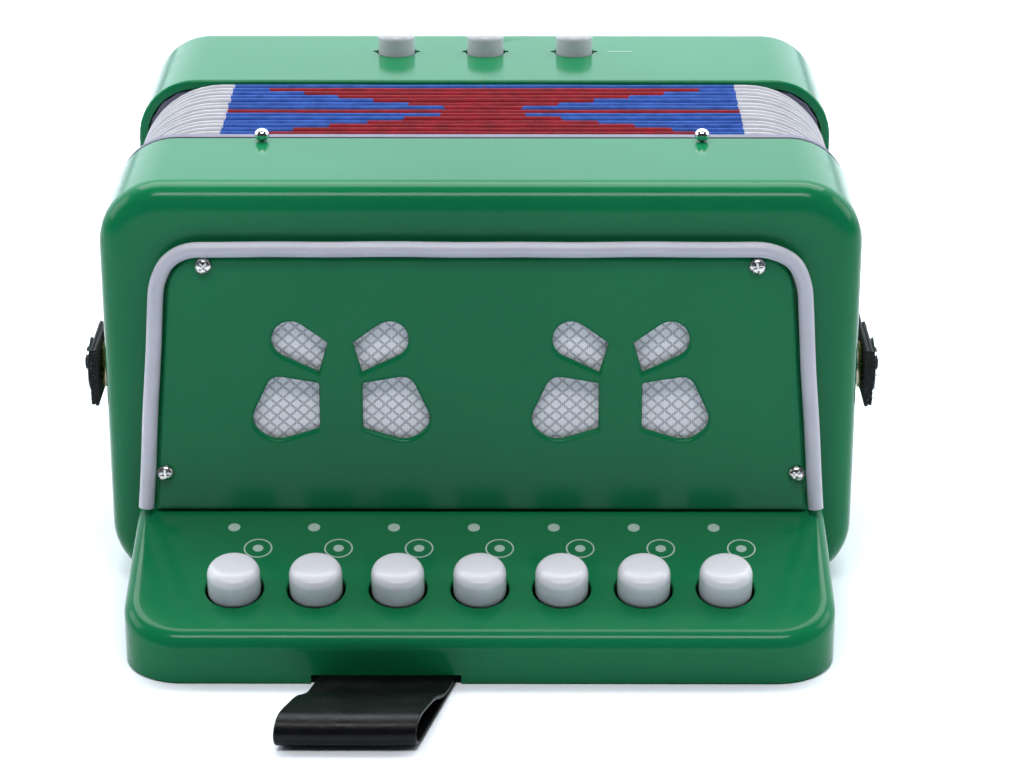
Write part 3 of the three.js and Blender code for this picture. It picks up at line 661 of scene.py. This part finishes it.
def treble_buttons():
    foot = [(0, -3), (1.4, -2.8), (1.5, -1.4), (6, -1.4)]
    profile = smooth_profile([*foot, (5.98, 4.9), (5.3, 6.15), (3.6, 6.55), (0, 6.7)], 0.9, 5)
    for node in TREBLE_BUTTONS:
        button = finish_mesh(f"{node}_cap", turned(profile, button_foot(node), SHELF_NORMAL, 64), "white")
        done(button, node, "white_button", node)


def bass_buttons():
    for node in BASS_BUTTONS:
        low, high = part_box(node)
        top = (high.z - HEIGHT) / MM
        foot = (low.z - HEIGHT) / MM
        stem = [(0, foot), (0.9, foot + 0.2), (1, -3.5), (4.75, -3.5)]
        profile = smooth_profile([*stem, (4.72, top - 1.8), (3.6, top - 0.7), (0, top)], 0.9, 6)
        button = finish_mesh(f"{node}_cap", turned(profile, button_place(node), sides=56), "white")
        done(button, node, "white_button", node)


def printed_marks():
    """Plain dots and ringed dots beside the treble buttons, and one short line by the air button."""
    lift = 0.03
    bm = bmesh.new()
    slope = Vector((0, math.cos(SHELF_TILT), math.sin(SHELF_TILT)))
    for node in TREBLE_BUTTONS:
        foot = button_foot(node)
        dot = foot + slope * 21.2 * MM + Vector((-1.6 * MM, 0, 0))
        ring = foot + slope * 13.8 * MM + Vector((4.4 * MM, 0, 0))
        turned([(0, lift), (1.4, lift), (1.4, lift + 0.02), (0, lift + 0.02)], dot, SHELF_NORMAL, 24, bm)
        turned([(0, lift), (1.2, lift), (1.2, lift + 0.02), (0, lift + 0.02)], ring, SHELF_NORMAL, 24, bm)
        outline = [(3.3, lift), (3.3, lift + 0.02), (2.95, lift + 0.02), (2.95, lift), (3.3, lift)]
        turned(outline, ring, SHELF_NORMAL, 40, bm)
    marks = finish_mesh("fingerboard_marks", bm, "print")
    done(marks, "treble", "white_button")
    at = button_place("air_button") + Vector((12 * MM, 0, 0))
    bm = bmesh.new()
    size = Vector((6.5, 0.35, 0.03)) * MM
    line = Matrix.Translation(at + Vector((0, 0, lift * MM))) @ Matrix.Diagonal((*size, 1))
    bmesh.ops.create_cube(bm, size=1.0, matrix=line)
    done(finish_mesh("air_button_mark", bm, "print"), "bass", "white_button")


# ---------- grille panel ----------

PANEL_BOTTOM_HALF = PANEL_HIGH.x
PANEL_TOP_HALF = 70.9 * MM
PANEL_TOP = PANEL_HIGH.z
BUTTERFLY_X = 32.2 * MM
BUTTERFLY_Z = 56.5 * MM


def panel_point(x, z, depth=0.0):
    """A point on the leaning panel, depth behind its front."""
    return Vector((x, panel_front(z) + depth, z))


def rounded_corners(corners, steps=6):
    """A closed outline through [x, z, radius] corners."""
    points = []
    for i, (x, z, radius) in enumerate(corners):
        here = Vector((x, z))
        before = Vector(corners[i - 1][:2])
        after = Vector(corners[(i + 1) % len(corners)][:2])
        if radius == 0:
            points.append(here)
            continue
        start = here + (before - here).normalized() * radius
        end = here + (after - here).normalized() * radius
        for k in range(steps + 1):
            t = k / steps
            points.append(start * (1 - t) ** 2 + here * 2 * t * (1 - t) + end * t * t)
    return points


def upper_wing():
    points = [Vector((-2.9, 7.3))]
    for k in range(17):
        angle = math.radians(55 + 189 * k / 16)
        points.append(Vector((-11.4 + 4.3 * math.cos(angle), 8.1 + 4.3 * math.sin(angle))))
    points.append(Vector((-5.0, 0.3)))
    return points


def lower_wing():
    inner = [(-5.0, -2.3, 0.7), (-5.0, -13.2, 0.7)]
    return rounded_corners([(-16.0, -0.5, 2.6), *inner, (-16.0, -16.6, 3.9), (-21.2, -11.6, 3.0)])


def panel_plate():
    """The front plate as a filled curve with rounded outer and wing edges, then leant back."""
    curve = bpy.data.curves.new("panel_outline", "CURVE")
    curve.dimensions = "2D"
    curve.fill_mode = "BOTH"
    curve.extrude = 0.15 * MM
    curve.bevel_depth = 0.85 * MM
    curve.bevel_resolution = 4
    curve.offset = -0.85 * MM
    half, top_half, top = PANEL_BOTTOM_HALF / MM, PANEL_TOP_HALF / MM, PANEL_TOP / MM
    foot = [(-half, 23.6, 0.4), (half, 23.6, 0.4)]
    outline = rounded_corners([*foot, (top_half, top, 8), (-top_half, top, 8)], 12)
    loops = [outline]
    for x in (-BUTTERFLY_X / MM, BUTTERFLY_X / MM):
        for side in (-1, 1):
            for wing in (upper_wing(), lower_wing()):
                loop = [Vector((x - side * p.x, p.y + BUTTERFLY_Z / MM)) for p in wing]
                loops.append(loop if side < 0 else loop[::-1])
    for loop in loops:
        spline = curve.splines.new("POLY")
        spline.points.add(len(loop) - 1)
        for point, place in zip(spline.points, loop):
            point.co = (place.x * MM, place.y * MM, 0, 1)
        spline.use_cyclic_u = True
    holder = bpy.data.objects.new("panel_outline", curve)
    bpy.context.collection.objects.link(holder)
    bpy.context.view_layer.update()
    mesh = bpy.data.meshes.new_from_object(holder.evaluated_get(bpy.context.evaluated_depsgraph_get()))
    bpy.data.objects.remove(holder, do_unlink=True)
    bm = bmesh.new()
    bm.from_mesh(mesh)
    bpy.data.meshes.remove(mesh)
    for vert in bm.verts:
        x, z, out = vert.co
        vert.co = panel_point(x, z, 1.0 * MM - out)
    return bm


def grille_panel():
    bm = panel_plate()
    inset = 1.0 * MM
    rings = []
    for depth_share in (0, 1):
        ring = []
        half, top_half, top = PANEL_BOTTOM_HALF - inset, PANEL_TOP_HALF - inset, PANEL_TOP - inset
        corners = [(-half, 24.2 * MM, 0), (half, 24.2 * MM, 0)]
        corners += [(top_half, top, 7 * MM), (-top_half, top, 7 * MM)]
        for p in rounded_corners(corners, 12):
            near = panel_front(p.y) + 1.7 * MM
            ring.append(Vector((p.x, near + (FACE_Y - 0.1 * MM - near) * depth_share, p.y)))
        rings.append(ring)
    inner = [[Vector((p.x * 0.975, p.y, (p.z - 50 * MM) * 0.96 + 50 * MM)) for p in ring] for ring in rings]
    loft_into(bm, [rings[0], rings[1], inner[1], inner[0]], closed=True)
    panel = finish_mesh("grille_panel_moulding", bm, "green")
    weigh_normals(panel)
    done(panel, "treble", "green_shell", "grille_panel")


def grille_cloth():
    """A woven sheet behind the wings, drawn tight, with a slight slack between its glued edges."""
    low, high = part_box("grille_cloth")
    across, up = 60, 18
    thick = 0.35 * MM
    bm = bmesh.new()
    sides = []
    for depth in (0.0, thick):
        grid = []
        for j in range(up + 1):
            z = low.z + (high.z - low.z) * j / up
            row = []
            for i in range(across + 1):
                x = low.x + (high.x - low.x) * i / across
                slack = 0.25 * MM * math.sin(math.pi * j / up) * math.sin(3 * math.pi * i / across) ** 2
                row.append(bm.verts.new(panel_point(x, z, 2.35 * MM + depth + slack)))
            grid.append(row)
        sides.append(grid)
    for grid in sides:
        for j in range(up):
            for i in range(across):
                bm.faces.new((grid[j][i], grid[j][i + 1], grid[j + 1][i + 1], grid[j + 1][i]))
    front, back = sides
    border = [(0, i) for i in range(across)] + [(j, across) for j in range(up)]
    border += [(up, i) for i in range(across, 0, -1)] + [(j, 0) for j in range(up, 0, -1)]
    for (j, i), (l, k) in zip(border, border[1:] + border[:1]):
        bm.faces.new((front[j][i], front[l][k], back[l][k], back[j][i]))
    cloth = finish_mesh("grille_cloth_sheet", bm, "grille")
    done(cloth, "treble", "grille_cloth", "grille_cloth")


def piping():
    """Vinyl piping round three sides of the panel, a little uneven, cut square at both ends."""
    low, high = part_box("panel_piping")
    radius = 1.8 * MM
    bottom_half, top_half = high.x - radius, 73.1 * MM
    top, foot = high.z - radius, low.z + 0.2 * MM
    shoulders = [(-top_half, top, 10.5 * MM), (top_half, top, 10.5 * MM)]
    corner_points = rounded_corners([(-bottom_half, foot, 0), *shoulders, (bottom_half, foot, 0)], 14)
    line = []
    for a, b in zip(corner_points, corner_points[1:]):
        parts = max(1, int((b - a).length / (4 * MM)))
        line += [a.lerp(b, k / parts) for k in range(parts)]
    line.append(corner_points[-1])
    points = []
    for i, p in enumerate(line):
        sway = 0.12 * MM * math.sin(i * 0.9) + 0.1 * MM * math.sin(i * 0.37 + 1)
        points.append(panel_point(p.x, p.y, -0.35 * MM) + Vector((sway * 0.6, sway * 0.3, sway * 0.4)))
    bead = finish_mesh("panel_piping_bead", tube(points, radius, 20), "piping")
    done(bead, "treble", "piping", "panel_piping")


def cross_screw(name, at, direction, body, radius=2.0, node=None):
    """A domed cross-head screw."""
    shank = [(0, -3), (0.9, -3), (0.9, 0.1)]
    head = [(radius, 0.1), (radius, 0.35), (radius * 0.88, 0.85), (radius * 0.6, 1.25), (0, 1.5)]
    profile = [*shank, *head]
    screw = finish_mesh(name, turned(smooth_profile(profile, 0.25), at, direction, 36), "nickel")
    turn = Vector((0, 0, 1)).rotation_difference(direction).to_matrix().to_4x4()
    spin = Matrix.Rotation(0.5 + 7 * at.x / 0.1, 4, "Z")
    for size in ((radius * 1.15, radius * 0.26, 1.4), (radius * 0.26, radius * 1.15, 1.4)):
        bm = bmesh.new()
        local = Matrix.Translation((0, 0, 1.55 * MM)) @ Matrix.Diagonal((*(Vector(size) * MM), 1))
        bmesh.ops.create_cube(bm, size=1.0, matrix=Matrix.Translation(at) @ turn @ spin @ local)
        cut(screw, finish_mesh("cutter", bm, "nickel"))
    resharpen(screw, math.radians(30))
    return done(screw, body, "chrome_hardware", *([node] if node else []))


def panel_screws():
    for vertical in ("upper", "lower"):
        for side in ("left", "right"):
            node = f"panel_screw_{vertical}_{side}"
            place = centre(node)
            at = Vector((place.x, panel_front(place.z), place.z))
            out = Vector((0, -math.cos(PANEL_LEAN), math.sin(PANEL_LEAN)))
            cross_screw(f"{node}_head", at, out, "treble", node=node)


# ---------- bellows ----------

FOLDS = 15
FOLD_DEPTH = 8.5 * MM
MIDDLE_FOLD = (FOLDS - 1) / 2


def red_reach(fold):
    """How far from the middle the red print reaches on one fold, which may be a fraction."""
    away = abs(fold - MIDDLE_FOLD)
    if away < 0.5:
        return WHITE_FROM
    if away > MIDDLE_FOLD - 0.5:
        return 0.0
    return (10 + 8.8 * (away - 1)) * MM


def bellows_ring(y, inset, wander):
    """The bellows' outline at one Y, wandering a little along it."""
    ring = casing_ring(y, inset, BELLOWS_CORNER, steps=12, along=48, up=10)
    for point in ring:
        a = point.x / MM
        b = point.z / MM
        wave = math.sin(a * 0.11 + wander[0]) + 0.6 * math.sin(a * 0.23 + wander[1])
        wave += 0.5 * math.sin(b * 0.2 + wander[2])
        point.y += 0.09 * MM * wave
    return ring


def bellows():
    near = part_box("bellows_section_1")[0].y - 0.1 * MM
    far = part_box("bellows_section_5")[1].y + 0.2 * MM
    pitch = (far - near) / FOLDS
    top = 0.65 * MM
    chance = random.Random(11)
    rings, reaches = [], []
    shape = [-1.0, -0.86, -0.68, -0.46, -0.2, 0.0, 0.2, 0.46, 0.68, 0.86]
    for fold in range(FOLDS):
        wander = [chance.uniform(0, 6.3) for _ in range(3)]
        proud = chance.uniform(-0.12, 0.12) * MM
        for s in shape:
            y = near + (fold + 0.5 + s / 2) * pitch
            inset = top + (FOLD_DEPTH - top) * abs(s) ** 2.6 + proud * (1 - abs(s))
            rings.append(bellows_ring(y, inset, wander if abs(s) < 0.95 else (0, 0, 0)))
            plain = fold in (0, MIDDLE_FOLD, FOLDS - 1)
            reaches.append(red_reach(fold if plain else fold + 0.18 * s))
    for y, inset in ((far, FOLD_DEPTH), (far, FOLD_DEPTH + 2 * MM), (near, FOLD_DEPTH + 2 * MM)):
        rings.append(bellows_ring(y, inset, (0, 0, 0)))
        reaches.append(0.0)
    bm = bmesh.new()
    rows = loft_into(bm, rings, closed=True)
    layer = bm.loops.layers.uv.new("pattern")
    reach_of = {vert: reach for row, reach in zip(rows, reaches) for vert in row}
    for face in bm.faces:
        for loop in face.loops:
            loop[layer].uv = (loop.vert.co.x / UV_SPAN + 0.5, reach_of[loop.vert] / UV_SPAN)
    piece = finish_mesh("bellows_folds", bm, "bellows", sharp=math.radians(80))
    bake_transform(piece)
    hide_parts(*[f"bellows_section_{i}" for i in range(1, 6)])


def flat_ring(name, node, outer, inner, look, slot, body, edge=0.25 * MM, corner=CORNER, reach=0.0):
    """A flat frame round the bellows' mouth, with eased edges."""
    low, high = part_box(node)
    high.y += reach
    rings = [
        casing_ring(low.y, inner, corner),
        casing_ring(low.y, outer + edge, corner),
        casing_ring(low.y + edge, outer, corner),
        casing_ring(high.y - edge, outer, corner),
        casing_ring(high.y, outer + edge, corner),
        casing_ring(high.y, inner, corner),
    ]
    bm = bmesh.new()
    loft_into(bm, rings, closed=True)
    done(finish_mesh(name, bm, look), body, slot, node)


def gasket():
    name, node = "bellows_gasket_foam", "bellows_gasket"
    flat_ring(name, node, 0.0, 9 * MM, "foam", "gasket_foam", "treble", edge=0.1 * MM, reach=0.2 * MM)


def bellows_frame():
    name, node = "treble_bellows_frame_ring", "treble_bellows_frame"
    flat_ring(name, node, 0.15 * MM, 9 * MM, "frame", "bellows_frame", "treble", reach=1.1 * MM)


def bellows_pins():
    for side in ("left", "right"):
        node = f"bellows_pin_{side}"
        place = centre(node)
        at = Vector((place.x, place.y, HEIGHT))
        profile = [(0, -4), (0.8, -4), (0.8, 0.15), (1.05, 0.25)]
        for k in range(13):
            angle = math.radians(-55 + 145 * k / 12)
            profile.append((1.78 * math.cos(angle) if k < 12 else 0, 1.5 + 1.55 * math.sin(angle)))
        pin = finish_mesh(f"{node}_head", turned(profile, at, sides=40), "chrome")
        done(pin, "treble", "chrome_hardware", node)


# ---------- straps ----------


def thumb_strap():
    """One leather band: out from under the fingerboard in a low S, round, and back along the surface."""
    front = SHELF_FRONT
    thick = 1.0 * MM
    route = [
        (-12, 1.75), (-6, 1.75), (0, 1.75), (3, 1.7), (6, 1.75), (9, 2.2), (12, 3.3), (15, 4.6),
        (18, 5.5), (21, 6.0), (24.5, 6.6), (27.5, 6.8), (29.8, 6.0), (31.0, 4.5), (31.1, 3.0),
        (30.2, 1.5), (28.4, 0.85), (25.5, 0.7),
        (20, 0.66), (14, 0.64), (8, 0.62), (0, 0.6), (-6, 0.6), (-12, 0.6),
    ]
    points = spline([Vector((0, front - reach * MM, z * MM)) for reach, z in route], 4)
    rings = []
    half = 15.3 * MM
    middle_x = -20.5 * MM
    for i, point in enumerate(points):
        ahead = points[min(i + 1, len(points) - 1)] - points[max(i - 1, 0)]
        out = Vector((0, -ahead.z, ahead.y)).normalized()
        reach = max(0.0, front - point.y)
        shift = -0.25 * reach
        curl = 0.35 * MM * (reach / (30 * MM)) ** 2
        ring = []
        stops = (-1.0, -0.985, -0.8, -0.4, 0.0, 0.4, 0.8, 0.985, 1.0)
        for side in (1, -1):
            for s in stops if side > 0 else stops[::-1]:
                eased = 0.55 if abs(s) > 0.99 else 1.0
                lift = curl * (abs(s) ** 3)
                at = Vector((middle_x + shift + s * half, point.y, point.z + lift * 0.5))
                ring.append(at + out * side * thick / 2 * eased)
        rings.append(ring)
    bm = bmesh.new()
    loft_into(bm, rings)
    for vert in bm.verts:
        vert.co.z = max(vert.co.z, 0.12 * MM)
    strap = finish_mesh("thumb_strap_band", bm, "leather")
    done(strap, "treble", "strap_leather", "thumb_strap")


def spline(points, parts):
    """Catmull-Rom points through a list."""
    padded = [points[0] * 2 - points[1], *points, points[-1] * 2 - points[-2]]
    result = []
    for a, b, c, d in zip(padded, padded[1:], padded[2:], padded[3:]):
        for k in range(parts):
            t = k / parts
            square = (2 * a - 5 * b + 4 * c - d) * t**2
            cube = (3 * b - a - 3 * c + d) * t**3
            result.append(0.5 * (2 * b + (c - a) * t + square + cube))
    result.append(points[-1])
    return result


STRAP_Z = 50 * MM
STRAP_HALF = 7 * MM


def side_strap(side, word):
    """Elastic webbing from the keeper over the bellows to the snap, doubled and stitched at its free end."""
    strap_low, strap_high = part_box(f"side_strap_{word}")
    snap_centre = centre(f"snap_cap_{word}")
    tip, anchor = strap_low.y, strap_high.y
    body = f"strap_{word}"
    wall = HALF_WIDTH
    slope_from, slope_to = RIM_Y - 6 * MM, FACE_Y + 30 * MM

    def stand(y):
        t = min(max((slope_from - y) / (slope_from - slope_to), 0), 1)
        wave = 0.12 * MM * math.sin(y / MM * 0.21 + side) * (1 - abs(2 * t - 1))
        u = min(max((y - snap_centre.y - 8 * MM) / (anchor - snap_centre.y - 14 * MM), 0), 1)
        return 0.35 * MM + 2.15 * MM * t * t * (3 - 2 * t) + wave + 1.5 * MM * math.sin(math.pi * u) ** 2

    def layer(bm, start, end, lift, thick, width=STRAP_HALF, parts=60):
        stations = []
        for k in range(parts + 1):
            y = start + (end - start) * k / parts
            x = wall + stand(y) + lift
            stations.append((Vector((side * x, y, STRAP_Z)), Vector((side * (x + thick), y, STRAP_Z))))
        band(stations, width, Vector((0, 0, 1)), bm=bm)

    bm = bmesh.new()
    layer(bm, anchor, tip, 0.0, 0.95 * MM)
    fold_start = snap_centre.y + 10.5 * MM
    layer(bm, fold_start, tip + 0.3 * MM, 1.0 * MM, 0.85 * MM, STRAP_HALF - 0.15 * MM, 24)
    strap = finish_mesh(f"side_strap_{word}_webbing", bm, "webbing")
    done(strap, body, "elastic_webbing", f"side_strap_{word}")
    stitches = bmesh.new()
    for y in (fold_start - 1.2 * MM, tip + 1.6 * MM):
        count = 9
        for k in range(count):
            z = STRAP_Z + (k - (count - 1) / 2) * 1.45 * MM
            x = wall + stand(y) + 1.9 * MM
            steps = ((0, -0.5), (0.12, 0), (0, 0.5))
            ends = [Vector((side * (x + out * MM), y, z + up * MM)) for out, up in steps]
            tube(ends, 0.13 * MM, 6, stitches)
    chance = random.Random(5 if side > 0 else 6)
    for _ in range(7):
        z = STRAP_Z + chance.uniform(-6.5, 6.5) * MM
        x = side * (wall + stand(tip) + chance.uniform(0.2, 1.6) * MM)
        start = Vector((x, tip + 0.2 * MM, z))
        out, ahead, up = chance.uniform(-0.4, 0.8), chance.uniform(0.4, 1.0), chance.uniform(-0.7, 0.5)
        step = Vector((side * out, -ahead, up)) * MM
        bend = Vector((chance.uniform(-0.4, 0.4), 0, chance.uniform(-0.5, 0.5))) * MM
        tube([start, start + step + bend * 0.4, start + step * 2 + bend], 0.08 * MM, 6, stitches)
    done(finish_mesh(f"side_strap_{word}_stitching", stitches, "thread"), body, "elastic_webbing")


def snaps(side, word):
    out = Vector((side, 0, 0))
    place = centre(f"snap_cap_{word}")
    at = Vector((side * HALF_WIDTH, place.y, place.z))
    low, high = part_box(f"snap_cap_{word}")
    top = (max(high.x, -low.x) - HALF_WIDTH) / MM
    cap_foot = top - 2.1
    cap = [
        (0, cap_foot), (5.9, cap_foot), (6.35, cap_foot + 0.15), (6.5, cap_foot + 0.5),
        (6.4, cap_foot + 0.95), (5.9, cap_foot + 1.35), (5.2, cap_foot + 1.5), (4.9, cap_foot + 1.42),
        (4.4, cap_foot + 1.5), (2.5, top - 0.15), (0, top),
    ]
    disc = finish_mesh(f"snap_cap_{word}_disc", turned(smooth_profile(cap, 0.2), at, out, 56), "chrome")
    done(disc, f"strap_{word}", "chrome_hardware", f"snap_cap_{word}")
    socket = [
        (1.6, 1.55), (4.6, 1.5), (5.4, 1.6), (5.6, 1.95), (5.3, 2.3), (4.2, 2.25), (3.4, 1.9), (1.6, 1.9),
        (1.6, 1.55),
    ]
    ring = finish_mesh(f"snap_socket_{word}", turned(socket, at, out, 48), "brass")
    done(ring, f"strap_{word}", "chrome_hardware")
    stud = [
        (0, 0.02), (4.6, 0.02), (4.7, 0.25), (4.4, 0.5), (2.6, 0.62), (2.1, 0.8), (1.9, 1.1), (1.2, 1.18),
        (0, 1.2),
    ]
    base = finish_mesh(f"snap_stud_{word}_disc", turned(smooth_profile(stud, 0.12), at, out, 48), "nickel")
    done(base, "treble", "chrome_hardware", f"snap_stud_{word}")


def keepers(side, word):
    low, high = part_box(f"strap_keeper_{word}")
    plate = rounded_plate(f"strap_keeper_{word}_plate", low, high, "nickel", 0.5 * MM)
    done(plate, "bass", "chrome_hardware", f"strap_keeper_{word}")
    for k, z in enumerate((low.z + 3.6 * MM, high.z - 3.6 * MM)):
        at = Vector((high.x if side > 0 else low.x, (low.y + high.y) / 2, z))
        cross_screw(f"strap_keeper_{word}_screw_{k + 1}", at, Vector((side, 0, 0)), "bass", 1.5)


def hand_strap():
    """The bass-end hand strap: leather with a raised middle and stitched edges, under two end plates."""
    low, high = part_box("bass_hand_strap")
    half = high.x
    thick = 1.5 * MM
    rise = high.y - END_Y - thick - 0.3 * MM
    stations = []
    parts = 72
    for k in range(parts + 1):
        x = -half + 2 * half * k / parts
        t = min(max((half - 13 * MM - abs(x)) / (30 * MM), 0), 1)
        y = END_Y + 0.3 * MM + rise * t * t * (3 - 2 * t)
        stations.append((Vector((x, y, HEIGHT / 2)), Vector((x, y + thick, HEIGHT / 2))))
    width = (high.z - low.z) / 2
    strap = finish_mesh("bass_hand_strap_band", band(stations, width, Vector((0, 0, 1))), "leather")
    done(strap, "bass", "strap_leather", "bass_hand_strap")
    bm = bmesh.new()
    for edge in (-1, 1):
        z = HEIGHT / 2 + edge * (width - 1.8 * MM)
        for inner, outer in stations[8:-8]:
            ahead = Vector((0.55 * MM, 0, 0))
            at = Vector((outer.x, outer.y, z))
            tube([at - ahead, at + Vector((0, 0.12 * MM, 0)), at + ahead], 0.14 * MM, 6, bm)
    done(finish_mesh("bass_hand_strap_stitching", bm, "thread"), "bass", "strap_leather")
    for word in ("left", "right"):
        node = f"hand_strap_plate_{word}"
        low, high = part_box(node)
        done(rounded_plate(f"{node}_cover", low, high, "nickel", 0.45 * MM), "bass", "chrome_hardware", node)
        for k, z in enumerate((low.z + 5 * MM, high.z - 5 * MM)):
            at = Vector(((low.x + high.x) / 2, high.y, z))
            cross_screw(f"{node}_screw_{k + 1}", at, Vector((0, 1, 0)), "bass", 1.7)


# ---------- carried-over CAD pieces ----------


def finish_nodes():
    """Gives every CAD node that stays its own procedural finish."""
    looks = {
        "green_shell": "green", "white_button": "white", "lever_plastic": "lever", "piping": "piping",
        "grille_cloth": "grille", "strap_leather": "leather", "elastic_webbing": "webbing",
        "chrome_hardware": "chrome", "reed_brass": "brass", "bellows_card": "frame", "bellows_frame": "frame",
        "gasket_foam": "foam", "soundboard_fibre": "board",
    }
    for part in frame["record"]["subparts"]:
        node = frame["nodes"][part["node"]]
        for holder in node.material_slots:
            holder.material = LOOK[looks[part["material_slot"]]]


# ---------- stage, light and camera ----------


def stage():
    """A plain pale sheet under the object."""
    m = Nodes("stage_paper")
    m.link(m.mix(m.noise(3, 2), (0.80, 0.84, 0.90), (0.84, 0.87, 0.92)), "Base Color")
    m.set(Roughness=0.85)
    m.shader.inputs["Specular IOR Level"].default_value = 0.1
    bm = bmesh.new()
    bmesh.ops.create_grid(bm, x_segments=2, y_segments=2, size=4.0)
    mesh = bpy.data.meshes.new("stage_floor")
    bm.to_mesh(mesh)
    bm.free()
    floor = bpy.data.objects.new("stage_floor", mesh)
    mesh.materials.append(m.material)
    bpy.context.collection.objects.link(floor)


def area_light(name, at, target, size, energy, colour=(1, 1, 1)):
    data = bpy.data.lights.new(name, "AREA")
    data.shape = "RECTANGLE"
    data.size, data.size_y = size
    data.energy = energy
    data.color = colour
    light = bpy.data.objects.new(name, data)
    light.location = at
    light.rotation_euler = (Vector(target) - Vector(at)).to_track_quat("-Z", "Y").to_euler()
    bpy.context.collection.objects.link(light)


def studio():
    """A bright backdrop behind and above, and soft boxes high on each side; the front stays dark."""
    world = bpy.data.worlds.new("studio_world")
    world.use_nodes = True
    tree = world.node_tree
    place = tree.nodes.new("ShaderNodeTexCoord")
    parts = tree.nodes.new("ShaderNodeSeparateXYZ")
    ramp = tree.nodes.new("ShaderNodeMapRange")
    ramp.inputs["From Min"].default_value = 0.0
    ramp.inputs["From Max"].default_value = 0.6
    ramp.inputs["To Min"].default_value = 0.05
    ramp.inputs["To Max"].default_value = 2.1
    background = tree.nodes["Background"]
    background.inputs["Color"].default_value = (0.78, 0.92, 1.0, 1)
    tree.links.new(place.outputs["Generated"], parts.inputs[0])
    tree.links.new(parts.outputs["Y"], ramp.inputs["Value"])
    tree.links.new(ramp.outputs["Result"], background.inputs["Strength"])
    bpy.context.scene.world = world
    area_light("overhead_softbox", (0.0, 0.42, 0.85), (0, 0, 0.03), (1.2, 0.5), 11)
    area_light("front_softbox", (0.0, -0.50, 1.15), (0, 0, 0.05), (0.8, 0.25), 9)
    area_light("left_softbox", (-0.9, 0.1, 0.5), (0, 0, 0.05), (0.5, 0.5), 3)
    area_light("right_softbox", (0.9, 0.1, 0.5), (0, 0, 0.05), (0.5, 0.5), 3)
    bpy.context.scene.view_settings.view_transform = "Standard"


def camera():
    data = bpy.data.cameras.new("photo_camera")
    data.lens = 108
    data.sensor_width = 36
    data.clip_start = 0.01
    view = bpy.data.objects.new("photo_camera", data)
    view.location = (8.8 * MM, FACE_Y - 659.5 * MM, 319.4 * MM)
    view.rotation_euler = (math.radians(90 - 22.05), 0, math.radians(0.14))
    bpy.context.collection.objects.link(view)
    bpy.context.scene.camera = view


finish_nodes()
treble_casing()
bass_casing()
fingerboard()
treble_buttons()
bass_buttons()
printed_marks()
grille_panel()
grille_cloth()
piping()
panel_screws()
bellows()
gasket()
bellows_frame()
bellows_pins()
thumb_strap()
for side, word in ((-1, "left"), (1, "right")):
    side_strap(side, word)
    snaps(side, word)
    keepers(side, word)
hand_strap()
stage()
studio()
camera()
